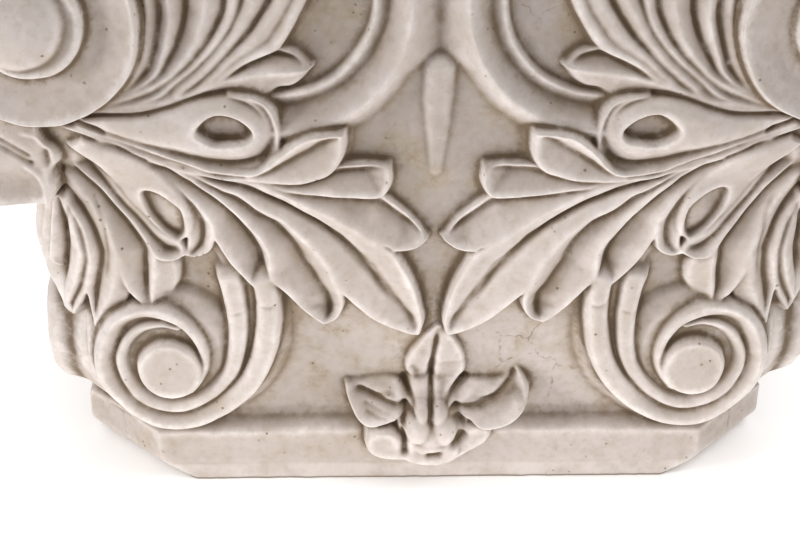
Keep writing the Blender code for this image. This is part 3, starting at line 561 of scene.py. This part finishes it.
class Relief:
    """A face: f is its distance from the axis over a grid of places x and heights z."""

    def __init__(self, x_axis, f=None):
        self.x_axis = x_axis
        self.z_axis = np.linspace(0, HEIGHT, round(HEIGHT / STEP) + 1)
        self.x, self.z = np.meshgrid(self.x_axis, self.z_axis)
        self.f = f

    def whole(self):
        """The whole face from its right half."""
        return Relief(
            np.concatenate([-self.x_axis[:0:-1], self.x_axis]),
            np.hstack([self.f[:, :0:-1], self.f]),
        )

    def window(self, points, margin=WIDE_MARGIN):
        """The grid's rows and columns around the points."""
        low = np.min(points, axis=0) - margin
        high = np.max(points, axis=0) + margin
        columns = slice(*np.searchsorted(self.x_axis, (low[0], high[0])))
        rows = slice(*np.searchsorted(self.z_axis, (low[1], high[1])))
        return rows, columns

    def over_wall(self, window, thickness, power=ROUNDING):
        """The surface that lies this thickness over the block's wall."""
        heights, distances = zip(*PROFILE)
        wall = np.interp(self.z[window], heights, distances)
        return rounded(np.abs(self.x[window]), wall + thickness, power)

    def stand(self, window, surface, inside, slope=EDGE_SLOPE, steep=FILLET_STEEP):
        """Raises f to the surface where inside > 0, with steep sides and a soft foot around it."""
        beyond = np.clip(-inside, 0, None)
        side = np.minimum(slope * beyond, steep + FILLET_SLOPE * beyond)
        off = EDGE_WORN * np.clip(1 - inside, 0, 1) ** 2
        self.f[window] = np.maximum(self.f[window], surface - side - off)


def block(relief):
    """The plain block: the slab, the wall and the upper block."""
    heights, distances = zip(*PROFILE)
    wall = np.interp(relief.z, heights, distances)
    lift = np.clip(1 - relief.z / SLAB_BEVEL, 0, 1) ** 2
    corner = np.where(relief.z < SLAB_TOP, SLAB_CORNER - lift * SLAB_CORNER_IN, ABACUS_CORNER)
    square = (relief.z < SLAB_TOP) | (relief.z > ABACUS_FOOT)
    cut = np.minimum(wall, corner - relief.x)
    relief.f = np.where(square, cut, rounded(relief.x, wall))


def between(relief, first_points, second_points):
    """The window around a shape with two edges, its places, how far along and how far from
    the first edge they are, the shape's width there, and how far inside it they are."""
    first = curve(first_points)
    second = curve(second_points)
    window = relief.window(np.vstack([first, second]))
    a = relief.x[window]
    z = relief.z[window]
    along, _, to_first = nearest(first, a, z)
    _, _, to_second = nearest(second, a, z)
    inside = np.minimum(to_first, to_second) * within(np.vstack([first, second[::-1]]), a, z)
    return window, a, z, along, to_first, to_first + to_second, inside


def ringed(relief, ring):
    """The window around a ring, its places and how far inside the ring they are."""
    window = relief.window(ring)
    a = relief.x[window]
    z = relief.z[window]
    return window, a, z, nearest(ring, a, z)[2] * within(ring, a, z)


def blade(relief, shape, thickness, power=ROUNDING, out=None):
    """A hollow blade between its two edges, which meet at its tip."""
    first, second, valley, depth, rise = shape
    window, a, z, along, to_first, width, inside = between(relief, first, second)
    share = to_first / np.maximum(width, TINY)
    down = np.where(share < valley, share / valley, (1 - share) / (1 - valley))
    high = ((1 - share) * rise[0] + share * rise[1]) * smooth(along)
    high -= depth * np.clip(width / BLADE_WIDTH, 0, 1) * down**VALLEY_POWER
    crease = np.abs(share - valley) * width / CREASE_HALF
    high -= CREASE * np.clip(width / CREASE_WIDTH, 0, 1) * np.exp(-(crease**2)) * (depth > 0)
    if out is None:
        surface = relief.over_wall(window, thickness(a, z) + high, power)
        relief.stand(window, surface, inside)
    else:
        relief.stand(window, PLANE + out(z) + high, inside, steep=SHEER)


def marks(relief, shapes):
    """Narrow ribs or, with a height below 0, grooves along their lines."""
    for points, half, height in shapes:
        line = curve(points)
        window = relief.window(line, margin=MARK_REACH * half)
        along, _, distance = nearest(line, relief.x[window], relief.z[window])
        if len(points) >= MARK_TAPERS_FROM:
            height = height * (smooth(along / MARK_ENDS) * smooth((1 - along) / MARK_ENDS))
        relief.f[window] += height * np.exp(-((distance / half) ** 2))


def turned(relief, centre, profile, **edge):
    """A round shape, by its heights at its radii."""
    radii, heights = zip(*profile)
    window = relief.window([centre], margin=radii[-1] + MARGIN)
    radius = np.hypot(relief.x[window] - centre[0], relief.z[window] - centre[1])
    relief.stand(window, PLANE + np.interp(radius, radii, heights), radii[-1] - radius, **edge)


def leaf_thickness(a, z):
    tip, more, reach = LEAF_THICK
    thick = tip + more * np.exp(-np.hypot(a - LEAF_ROOT[0], z - LEAF_ROOT[1]) / reach)
    thin, (a0, a1), (z0, z1) = LEAF_THIN
    share = smooth((a - a0) / (a1 - a0)) * smooth((z - z0) / (z1 - z0))
    return thick + (thin - thick) * share


def corner_thickness(a, z):
    low, more, start, reach = CORNER_THICK
    return low + more * smooth((z - start) / reach)


def upper_fan(relief):
    for first, second, tip, valley, depth in zip(A_RIBS, A_RIBS[1:], A_TIPS, A_VALLEYS, A_DEPTHS):
        edges = (A_ROOT, *first, tip), (A_ROOT, *second, tip)
        blade(relief, (*edges, valley, depth, (0, 0)), leaf_thickness)
    for shape in SPUR:
        blade(relief, shape, leaf_thickness)


def middle_fan(relief):
    for shape in BLADES:
        blade(relief, shape, leaf_thickness)
    marks(relief, LEAF_MARKS)


def corner_fan(relief):
    window, a, z, inside = ringed(relief, loop(CORNER_PAD))
    under = relief.over_wall(window, leaf_thickness(a, z) - CORNER_PAD_UNDER, CORNER_ROUNDING)
    relief.stand(window, under, inside, CORNER_PAD_SLOPE)
    for shape in CORNER_BLADES:
        blade(relief, shape, corner_thickness, CORNER_ROUNDING)
    marks(relief, CORNER_MARKS)


def eyelets(relief):
    for shape in RIMS:
        blade(relief, shape, leaf_thickness)
    for first, second, crest in TUBES:
        window, a, z, _, to_first, width, inside = between(relief, first, second)
        across = 2 * to_first / np.maximum(width, TINY) - 1
        bulge = crest * np.clip(width / TUBE_WIDTH, 0, 1) * np.sqrt(1 - across**2)
        relief.stand(window, relief.over_wall(window, leaf_thickness(a, z) + bulge), inside)
    out, reach = HOLE_LIP
    for ring, depth in HOLES:
        window, _, _, inside = ringed(relief, loop(ring))
        relief.f[window] -= depth * smooth((inside + out) / reach)


def ribbon(relief, points, halves, section):
    """A band along the points, whose section gives its height from edge to edge."""
    line = curve(points)
    window = relief.window(line, margin=max(halves) + MARGIN)
    along, side, distance = nearest(line, relief.x[window], relief.z[window])
    half = np.interp(along, np.linspace(0, 1, len(halves)), halves)
    v = np.clip(side * distance / half, -1, 1)
    relief.stand(window, PLANE + section(v, along), half - distance)


def blend(ends, share):
    """From the first of the two ends, at share 0, to the second, at 1."""
    return ends[0] + (ends[1] - ends[0]) * share


def dart_section(v, t):
    return blend(DART_FOOT, t) + blend(DART_RISE, t) * (1 - v**4)


def dart(relief):
    ribbon(relief, DART, DART_HALVES, dart_section)


def helix(relief):
    """The larger scroll, turned about a centre with a radius that closes in."""
    radii, heights = zip(*HELIX_PROFILE)
    centre = np.array(HELIX_CENTRE)
    window = relief.window([centre - radii[-1], centre + radii[-1]])
    off_a = relief.x[window] - centre[0]
    off_z = relief.z[window] - centre[1]
    start, reach = HELIX_TURN
    over = smooth((np.arctan2(off_z, -off_a) - start) / reach)
    radius = np.hypot(off_a, off_z) / (1 - HELIX_CLOSING * over)
    spread, low, reach = HELIX_SPREAD
    wider = spread * smooth((relief.z[window] - low) / reach)
    radius -= wider * np.clip(radius - HELIX_RIDGE, 0, None)
    inside = np.minimum(radius - radii[0], radii[-1] - radius)
    relief.stand(window, PLANE + np.interp(radius, radii, heights), inside)


def outer_band(v, t):
    """Flat on the stem, a ridge near its outer edge round the volute."""
    sunk, end = OUTER_SUNK
    flat = OUTER_HIGH - OUTER_DROP * np.abs(v) ** 3 - sunk * smooth(2 - 2 * t / end)
    ridge = OUTER_HIGH - RIDGE_DROP * np.abs(v - RIDGE_PLACE) ** RIDGE_POWER
    start, stop = RIDGE_RUN
    share = smooth((t - start) / RIDGE_ENDS) * smooth((stop - t) / RIDGE_ENDS)
    return flat + (ridge - flat) * share


def inner_band(v, t):
    """Nearly flat, leaning more to one side further along."""
    sunk, end = INNER_SUNK
    start, reach, most = INNER_LEAN
    lean = most * v * smooth((t - start) / reach)
    return INNER_HIGH - INNER_DROP * np.abs(v) ** 3 - lean - sunk * smooth(2 - 2 * t / end)


def floor_band(v, _):
    return COIL_FLOOR_HIGH - COIL_FLOOR_DROP * np.abs(v)


def volute(relief):
    turned(relief, MOUND_CENTRE, VOLUTE_MOUND, steep=SHEER)
    ribbon(relief, COIL_FLOOR, COIL_FLOOR_HALVES, floor_band)
    ribbon(relief, COIL_INNER, COIL_INNER_HALVES, inner_band)
    ribbon(relief, COIL_OUTER, COIL_OUTER_HALVES, outer_band)
    turned(relief, EYE_CENTRE, ((0, EYE_HIGH), (EYE_RADIUS, EYE_HIGH)))
    marks(relief, STEM_CRACKS)


def corner(relief):
    window, _, _, inside = ringed(relief, curve(BLOCK_EDGE))
    relief.stand(window, PLANE + BLOCK_HIGH, inside, BLOCK_SLOPE, steep=SHEER)
    marks(relief, BLOCK_MARKS)
    for centre, profile in DISC:
        turned(relief, centre, profile, slope=DISC_SLOPE, steep=SHEER)


def fleuron_out(z):
    heights, distances = zip(*FLEURON_OUT)
    return np.interp(z, heights, distances)


def fleuron(relief):
    for ring, lift in FLEURON_PADS:
        window, _, z, inside = ringed(relief, loop(ring))
        relief.stand(window, PLANE + fleuron_out(z) + lift, inside, steep=SHEER)
    for shape in PETALS:
        blade(relief, shape, None, out=fleuron_out)
    for (x0, z0), (half_x, half_z), high in BULBS:
        window = relief.window([(x0, z0)], margin=max(half_x, half_z) + MARGIN)
        radius = np.hypot((relief.x[window] - x0) / half_x, (relief.z[window] - z0) / half_z)
        dome = high + BULB_ROUND * (np.sqrt(np.clip(1 - radius**2, 0, 1)) - 1)
        relief.stand(window, PLANE + dome, half_x * (1 - radius), BULB_SLOPE, steep=SHEER)
    marks(relief, FLEURON_MARKS)


def carved_face():
    """The right half with all that is mirrored, then the whole face with its flower."""
    half = Relief(np.linspace(0, REACH, round(REACH / STEP) + 1))
    block(half)
    dart(half)
    helix(half)
    upper_fan(half)
    middle_fan(half)
    volute(half)
    corner_fan(half)
    eyelets(half)
    corner(half)
    face = half.whole()
    fleuron(face)
    return face


def blurred(values, reach):
    """The values averaged over about reach millimetres, mirrored at their edges."""
    width = max(1, round(reach / STEP))
    for axis in (0, 1):
        for _ in range(BLUR_PASSES):
            pad = [(0, 0), (0, 0)]
            pad[axis] = (width + 1, width)
            total = np.cumsum(np.pad(values, pad, mode="reflect"), axis=axis)
            count = values.shape[axis]
            upper = np.take(total, range(2 * width + 1, 2 * width + 1 + count), axis=axis)
            lower = np.take(total, range(count), axis=axis)
            values = (upper - lower) / (2 * width + 1)
    return values


def mesh_of(name, points, triangles):
    mesh = bpy.data.meshes.new(name)
    mesh.vertices.add(len(points))
    mesh.vertices.foreach_set("co", np.ascontiguousarray(points, np.float32).ravel())
    mesh.loops.add(3 * len(triangles))
    mesh.loops.foreach_set("vertex_index", np.ascontiguousarray(triangles, np.int32).ravel())
    mesh.polygons.add(len(triangles))
    mesh.polygons.foreach_set("loop_start", np.arange(0, 3 * len(triangles), 3, dtype=np.int32))
    mesh.update(calc_edges=True)
    return mesh


def arrays_of(mesh):
    points = np.empty(3 * len(mesh.vertices), np.float32)
    mesh.vertices.foreach_get("co", points)
    mesh.calc_loop_triangles()
    triangles = np.empty(3 * len(mesh.loop_triangles), np.int32)
    mesh.loop_triangles.foreach_get("vertices", triangles)
    return points.reshape(-1, 3).astype(float), triangles.reshape(-1, 3)


def mitred(relief):
    """Points and triangles of the face, each row ending on the diagonals, in millimetres."""
    rows, columns = relief.f.shape
    middle = columns // 2
    points = np.empty((rows, columns, 3))
    index = np.empty((rows, columns), int)
    for row, (f, z) in enumerate(zip(relief.f, relief.z_axis)):
        right = f[middle:]
        axis = relief.x_axis[middle:]
        last = np.flatnonzero(right >= axis)[-1]
        gap = right[last : last + 2] - axis[last : last + 2]
        end = axis[last] + STEP * gap[0] / (gap[0] - gap[1])
        x = np.clip(relief.x_axis, -end, end)
        within_end = np.maximum(f, np.minimum(np.abs(x) + WEB, end))
        points[row, :, 0] = x
        points[row, :, 1] = -np.where(np.abs(relief.x_axis) < end, within_end, end)
        points[row, :, 2] = z
        column = np.clip(np.arange(columns), middle - last - 1, middle + last + 1)
        index[row] = row * columns + column
    low, high = index[:-1], index[1:]
    first = np.stack([low[:, :-1], low[:, 1:], high[:, 1:]], axis=-1).reshape(-1, 3)
    second = np.stack([low[:, :-1], high[:, 1:], high[:, :-1]], axis=-1).reshape(-1, 3)
    triangles = np.vstack([first, second])
    whole = (
        (triangles[:, 0] != triangles[:, 1])
        & (triangles[:, 1] != triangles[:, 2])
        & (triangles[:, 0] != triangles[:, 2])
    )
    used, triangles = np.unique(triangles[whole], return_inverse=True)
    return points.reshape(-1, 3)[used], triangles.reshape(-1, 3)


def thinned(points, triangles):
    """The face with as few triangles as its detail needs."""
    mesh = mesh_of("face", points, triangles)
    obj = bpy.data.objects.new("face", mesh)
    bpy.context.scene.collection.objects.link(obj)
    thin = obj.modifiers.new("Thin", "DECIMATE")
    thin.ratio = min(1, TRIANGLES / len(triangles))
    graph = bpy.context.evaluated_depsgraph_get()
    points, triangles = arrays_of(obj.evaluated_get(graph).to_mesh())
    obj.evaluated_get(graph).to_mesh_clear()
    bpy.data.objects.remove(obj)
    bpy.data.meshes.remove(mesh)
    return points, triangles


def sampled(values, points):
    """The grid's values at the mesh's points."""
    column = np.clip((points[:, 0] + REACH) / STEP, 0, values.shape[1] - UNDER_LAST)
    row = np.clip(points[:, 2] / STEP, 0, values.shape[0] - UNDER_LAST)
    c, r = column.astype(int), row.astype(int)
    u, v = column - c, row - r
    lower = values[r, c] * (1 - u) + values[r, c + 1] * u
    upper = values[r + 1, c] * (1 - u) + values[r + 1, c + 1] * u
    return lower * (1 - v) + upper * v


def noise(points, size, seed):
    """Smooth noise, about -1 to 1, with bumps about size millimetres across."""
    cells = NOISE_CELLS
    lattice = np.random.default_rng(seed).uniform(-1, 1, (cells, cells, cells))
    at = points / size
    whole = np.floor(at).astype(int)
    part = smooth(at - whole)
    total = np.zeros(len(points))
    for corner_at in np.ndindex(2, 2, 2):
        share = np.prod(np.where(np.array(corner_at) == 1, part, 1 - part), axis=1)
        i, j, k = ((whole + corner_at) % cells).T
        total += share * lattice[i, j, k]
    return total


def roughened(relief):
    """The face with the fine unevenness of old plaster."""
    flat = np.zeros(relief.x.size)
    places = np.stack([relief.x.ravel(), relief.z.ravel(), flat], axis=1)
    for size, height, seed in ROUGHNESS:
        relief.f = relief.f + height * noise(places, size, seed).reshape(relief.f.shape)


def on_slab(z, end, reach):
    """1 on the slab, and 0 from end above its top on."""
    return smooth((SLAB_TOP + end - z) / reach)


def hollows_and_ridges(relief):
    """Three layers, 0 to 1: fine hollows and wide hollows (dirt, painted shade), ridges (wear, painted
    highlight).
    """
    f = relief.f
    fine_reach, fine_full = FINE_HOLLOW
    close = (blurred(f, fine_reach) - f) / fine_full
    wide = np.max([(blurred(f, reach) - f) / full for reach, full in WIDE_HOLLOWS], axis=0)
    wide = wide * blend((1, SLAB_DIRT_AND_SHADE), on_slab(relief.z, *SLAB_DIRT_AND_SHADE_FADE))
    ridge_reach, ridge_full = RIDGE_WEAR_AND_HIGHLIGHT
    ridge = (f - blurred(f, ridge_reach)) / ridge_full
    return [np.clip(layer, 0, 1) for layer in (close, wide, ridge)]


def bare(relief):
    """1 on the wall between the ornaments, 0 on what stands out from it."""
    wall = relief.over_wall(slice(None), 0)
    low = blend((1, SLAB_BARE), on_slab(relief.z, *SLAB_BARE_FADE))
    return low * (1 - smooth((relief.f - wall - BARE_FROM) / BARE_REACH))


def snapped(points, triangles):
    """Border points put exactly on the diagonals and the two beds."""
    ends = np.sort(np.vstack([triangles[:, :2], triangles[:, 1:], triangles[:, ::2]]), axis=1)
    edges, count = np.unique(ends, axis=0, return_counts=True)
    rim = np.unique(edges[count == 1])
    x, y, z = points[rim].T
    diagonal = np.abs(np.abs(x) + y) < DIAGONAL_SNAP
    mean = (np.abs(x) - y) / 2
    x, y = np.where(diagonal, np.sign(x) * mean, x), np.where(diagonal, -mean, y)
    z = np.where(z < BED_SNAP, 0, np.where(z > HEIGHT - BED_SNAP, HEIGHT, z))
    points = points.copy()
    points[rim] = np.stack([x, y, z], axis=1)
    return points


def uneven(points):
    """The slight waviness of hand work, none on the two beds, kept inside the CAD's box."""
    free = smooth(points[:, 2] / STEADY_BED) * smooth((HEIGHT - points[:, 2]) / STEADY_BED)
    out = points.copy()
    for axis in range(3):
        sway = sum(height * noise(points, size, seed + axis) for size, height, seed in WAVINESS)
        out[:, axis] += sway * free
    low, high = (np.array(corner_at) / MM for corner_at in cad_box)
    return np.clip(out, low, high)


def in_bed(part):
    """Whether an edge or face lies in the lower or the upper bed."""
    heights = [vert.co.z for vert in part.verts]
    return max(heights) < BED_TOLERANCE or min(heights) > HEIGHT * MM - BED_TOLERANCE


def close_beds(bm, rims, foot, crown):
    """Joins the beds' edges to the axis, by way of an inset ring. It gives each edge vertex's
    own inset vertex."""
    inset = {}
    for edge in filter(in_bed, rims):
        first, second = edge.verts
        hub = foot if first.co.z < BED_TOLERANCE else crown
        for vert in edge.verts:
            if vert not in inset:
                inset[vert] = bm.verts.new(hub.co.lerp(vert.co, BED_INSET))
        bm.faces.new((first, second, inset[second], inset[first]))
        bm.faces.new((inset[first], inset[second], hub))
    return inset


def line_down(edges):
    """The vertices of the joined edges, from the top one to the bottom one."""
    at = {}
    for edge in edges:
        for vert in edge.verts:
            at.setdefault(vert, []).append(edge)
    line = [max((vert for vert in at if len(at[vert]) == 1), key=lambda vert: vert.co.z)]
    edge = at[line[0]][0]
    while edge is not None:
        line.append(edge.other_vert(line[-1]))
        edge = next((other for other in at[line[-1]] if other is not edge), None)
    return line


def close_side(bm, line, inset, foot, crown):
    """Joins the line down one diagonal to the axis, by way of an upright line at CORE."""
    top, *outer, bottom = line
    side = CORE * MM if top.co.x > 0 else -CORE * MM
    core = [bm.verts.new((side, -CORE * MM, vert.co.z)) for vert in outer]
    bm.faces.new((top, outer[0], core[0], crown, inset[top]))
    bm.faces.new((outer[-1], bottom, inset[bottom], foot, core[-1]))
    bm.faces.new((crown, core[0], foot))
    for high, low, inner_high, inner_low in zip(outer, outer[1:], core, core[1:]):
        bm.faces.new((high, low, inner_low, inner_high))
        bm.faces.new((inner_high, inner_low, foot))


def close_wedge(mesh):
    """Makes the face's mesh a closed wedge that reaches the axis."""
    bm = bmesh.new()
    bm.from_mesh(mesh)
    rims = [edge for edge in bm.edges if edge.is_boundary]
    foot = bm.verts.new((0, 0, 0))
    crown = bm.verts.new((0, 0, HEIGHT * MM))
    inset = close_beds(bm, rims, foot, crown)
    sides = [edge for edge in rims if not in_bed(edge)]
    for right in (False, True):
        edges = [edge for edge in sides if (edge.verts[0].co.x > 0) == right]
        close_side(bm, line_down(edges), inset, foot, crown)
    bmesh.ops.triangulate(bm, faces=[face for face in bm.faces if len(face.verts) > 3])
    bmesh.ops.recalc_face_normals(bm, faces=bm.faces)
    for face in bm.faces:
        face.smooth = not in_bed(face)
    bm.to_mesh(mesh)
    bm.free()


def attribute(mesh, name, kind, field, values):
    layer = mesh.attributes.new(name, kind, "POINT")
    layer.data.foreach_set(field, values.astype(np.float32).ravel())


def quarter(name, face, turn, material):
    """One face with the wedge behind it, turned to its side of the axis."""
    points, triangles, hollow_and_ridge, wall = face
    own = points.copy()
    own[:, 2] = np.interp(points[:, 2], RELIEF_HEIGHTS, OWN_HEIGHTS)
    mesh = mesh_of(name, own * MM, triangles)
    attribute(mesh, "hollow_and_ridge", "FLOAT_COLOR", "color", np.column_stack([hollow_and_ridge, np.ones(len(hollow_and_ridge))]))
    attribute(mesh, "wall", "FLOAT", "value", wall)
    close_wedge(mesh)
    placed, _ = arrays_of(mesh)
    for _ in range(turn):
        placed = placed[:, [1, 0, 2]] * (-1, 1, 1)
    placed = uneven(placed / MM) * MM
    mesh.vertices.foreach_set("co", np.ascontiguousarray(placed, np.float32).ravel())
    mesh.update()
    mesh.materials.append(material)
    obj = bpy.data.objects.new(name, mesh)
    bpy.context.scene.collection.objects.link(obj)
    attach(obj, "root")
    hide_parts("capital")


class Graph:
    """A material's nodes, linked as they are made."""

    def __init__(self, name):
        self.material = bpy.data.materials.new(name)
        self.material.use_nodes = True
        self.nodes = self.material.node_tree.nodes
        self.links = self.material.node_tree.links
        self.shader = self.nodes["Principled BSDF"]

    def set(self, socket, value):
        if isinstance(value, bpy.types.NodeSocket):
            self.links.new(value, socket)
        else:
            socket.default_value = value

    def add(self, kind, out=0, inputs=(), **settings):
        node = self.nodes.new("ShaderNode" + kind)
        for key, value in settings.items():
            setattr(node, key, value)
        for key, value in dict(inputs).items():
            self.set(node.inputs[key], value)
        return node.outputs[out]

    def noise(self, place, scale, detail=4.0, rough=0.55):
        inputs = {"Vector": place, "Scale": scale, "Detail": detail, "Roughness": rough}
        return self.add("TexNoise", inputs=inputs)

    def math(self, operation, *values):
        return self.add("Math", operation=operation, inputs=enumerate(values))

    def times(self, first, second):
        return self.math("MULTIPLY", first, second)

    def plus(self, first, second):
        return self.math("ADD", first, second)

    def span(self, value, low, high, to_low=0.0, to_high=1.0):
        """The value taken smoothly from low and high to the two others, and kept between them."""
        inputs = {0: value, 1: low, 2: high, 3: to_low, 4: to_high}
        return self.add("MapRange", inputs=inputs, clamp=True, interpolation_type="SMOOTHSTEP")

    def mix(self, share, first, second):
        inputs = {0: share, 6: first, 7: second}
        return self.add("Mix", out=2, inputs=inputs, data_type="RGBA")


def wall_look(g, colour, place, up, cloud, blotch, fine):
    """Painted shade higher up the bare wall, and its own stains, grime and fine cracks, over the
    colour.
    """
    wall = g.add("Attribute", out="Fac", attribute_name="wall")
    # Painted shade: the bare wall darker higher up.
    colour = g.mix(g.times(wall, g.span(up, *WALL_UPPER_SHADE)), colour, UPPER_WALL_SHADE_COLOUR)
    colour = g.mix(g.times(wall, g.span(blotch, *WALL_STAIN)), colour, PLASTER_STAINED)
    grime = g.times(g.span(blotch, *WALL_GRIME_BLOTCH), g.span(fine, *WALL_GRIME_FINE))
    colour = g.mix(g.times(g.times(wall, grime), WALL_GRIME), colour, GRIME_AND_SHADE_PALE)
    sway = g.times(g.noise(place, CRACK_SWAY_SCALE), CRACK_SWAY)
    warped = g.add("VectorMath", operation="ADD", inputs={0: place, 1: sway})
    inputs = {"Vector": warped, "Scale": CRACK_SCALE}
    seams = g.add("TexVoronoi", inputs=inputs, feature="DISTANCE_TO_EDGE")
    crack = g.times(g.span(seams, *CRACK_WIDTH), g.span(cloud, *CRACK_CLOUD))
    crack = g.times(crack, g.times(wall, g.span(fine, *CRACK_FINE)))
    return g.mix(g.times(crack, CRACK_SHARE), colour, GRIME_AND_SHADE_DARK)


def hollow_and_ridge_look(g, colour, up, blotch, fine):
    """Dirt and painted shade in the hollows, wear and painted highlight on the ridges, a lighter
    strip at the foot, and a painted shadow line at the floor.
    """
    layers = g.add("Attribute", attribute_name="hollow_and_ridge")
    close = g.add("SeparateColor", out="Red", inputs={0: layers})
    wide = close.node.outputs["Green"]
    ridge = close.node.outputs["Blue"]
    patchy = g.plus(g.times(blotch, PATCHY_BLOTCH), g.times(fine, PATCHY_FINE))
    # Dirt with painted shade in the wide and the fine hollows.
    colour = g.mix(g.times(wide, g.span(patchy, *WIDE_DIRT_AND_SHADE)), colour, GRIME_AND_SHADE_PALE)
    colour = g.mix(g.times(close, g.span(patchy, *CLOSE_DIRT_AND_SHADE)), colour, GRIME_AND_SHADE_DARK)
    strip = g.times(g.span(up, *FOOT_STRIP), g.span(blotch, *FOOT_STRIP_BLOTCH))
    colour = g.mix(strip, colour, PLASTER_RUBBED_AND_HIGHLIGHT)
    # Wear with a painted highlight on the ridges.
    colour = g.mix(g.times(ridge, g.span(patchy, *RUBBED_AND_HIGHLIGHT)), colour, PLASTER_RUBBED_AND_HIGHLIGHT)
    # A painted dark shadow line where the foot meets the floor.
    return g.mix(g.span(up, *FOOT_SHADOW_LINE), colour, GRIME_AND_SHADE_DARK)


def plaster():
    g = Graph("plaster")
    place = g.add("TexCoord", out="Object")
    up = g.add("SeparateXYZ", out="Z", inputs={0: place})
    cloud, blotch, fine, grain = (g.noise(place, *kind) for kind in (CLOUD, BLOTCH, FINE, GRAIN))
    colour = g.mix(g.span(cloud, *PALE_CLOUD), PLASTER_WARM, PLASTER_PALE)
    colour = g.mix(g.span(blotch, *STAIN_BLOTCH), colour, PLASTER_STAINED)
    colour = g.mix(g.span(fine, *STAIN_FINE), colour, PLASTER_STAINED)
    colour = wall_look(g, colour, place, up, cloud, blotch, fine)
    colour = hollow_and_ridge_look(g, colour, up, blotch, fine)
    colour = g.mix(g.span(grain, *SPECKS), colour, GRIME_AND_SHADE_PALE)
    pits = g.add("TexVoronoi", inputs={"Vector": place, "Scale": PIT_SCALE})
    pit = g.times(g.span(pits, *PIT_EDGE), g.span(blotch, *PIT_BLOTCH))
    colour = g.mix(g.times(pit, PIT_SHARE), colour, GRIME_AND_SHADE_DARK)
    g.set(g.shader.inputs["Base Color"], colour)
    g.set(g.shader.inputs["Roughness"], g.span(grain, *SHEEN))
    bumps = g.plus(g.times(grain, BUMP_GRAIN), fine)
    height = g.plus(bumps, g.times(pit, BUMP_PIT))
    inputs = {"Strength": BUMP_STRENGTH, "Distance": BUMP_HEIGHT, "Height": height}
    g.set(g.shader.inputs["Normal"], g.add("Bump", inputs=inputs))
    return g.material


def capital():
    relief = carved_face()
    relief.f = blurred(relief.f, STEP)
    roughened(relief)
    points, triangles = thinned(*mitred(relief))
    hollow_and_ridge = np.stack([sampled(layer, points) for layer in hollows_and_ridges(relief)], axis=1)
    face = snapped(points, triangles), triangles, hollow_and_ridge, sampled(bare(relief), points)
    material = plaster()
    for turn, name in enumerate(("front", "right", "back", "left")):
        quarter("capital_" + name, face, turn, material)


def floor():
    """A white floor that glows to light the capital from below; its glow is dimmed close to the capital
    by occlusion, a painted contact shadow, and is dimmer far away.
    """
    bm = bmesh.new()
    bmesh.ops.create_grid(bm, x_segments=2, y_segments=2, size=FLOOR_HALF)
    mesh = bpy.data.meshes.new("floor")
    bm.to_mesh(mesh)
    bm.free()
    g = Graph("floor")
    g.set(g.shader.inputs["Base Color"], FLOOR_COLOUR)
    g.set(g.shader.inputs["Roughness"], FLOOR_ROUGHNESS)
    g.set(g.shader.inputs["Emission Color"], FLOOR_GLOW_COLOUR)
    place = g.add("TexCoord", out="Object")
    away = g.add("VectorMath", out=1, operation="LENGTH", inputs={0: place})
    # Occlusion dims the glow near the capital: a painted contact shadow.
    inputs = {"Distance": FLOOR_SHADOW_REACH}
    clear = g.add("AmbientOcclusion", out="AO", inputs=inputs, samples=FLOOR_SHADOW_SAMPLES)
    g.set(g.shader.inputs["Emission Strength"], g.times(clear, g.span(away, *FLOOR_GLOW)))
    mesh.materials.append(g.material)
    obj = bpy.data.objects.new("floor", mesh)
    bpy.context.scene.collection.objects.link(obj)


def lamp(name, place, target, size, power):
    light = bpy.data.lights.new(name, "AREA")
    light.shape = "ELLIPSE"
    light.size, light.size_y = size
    light.energy = power
    obj = bpy.data.objects.new(name, light)
    obj.location = place
    obj.rotation_euler = (Vector(target) - Vector(place)).to_track_quat("-Z", "Y").to_euler()
    bpy.context.scene.collection.objects.link(obj)


def studio():
    scene = bpy.context.scene
    scene.view_settings.view_transform = "Standard"
    world = bpy.data.worlds.new("studio")
    world.use_nodes = True
    background = world.node_tree.nodes["Background"]
    background.inputs["Color"].default_value = (1, 1, 1, 1)
    background.inputs["Strength"].default_value = WORLD_STRENGTH
    scene.world = world
    for values in LAMPS:
        lamp(*values)
    camera = bpy.data.cameras.new("camera")
    camera.lens = LENS
    camera.sensor_width = SENSOR
    obj = bpy.data.objects.new("camera", camera)
    obj.location = CAMERA_PLACE
    obj.rotation_euler = [radians(angle) for angle in CAMERA_TURN]
    scene.collection.objects.link(obj)
    scene.camera = obj


capital()
floor()
studio()
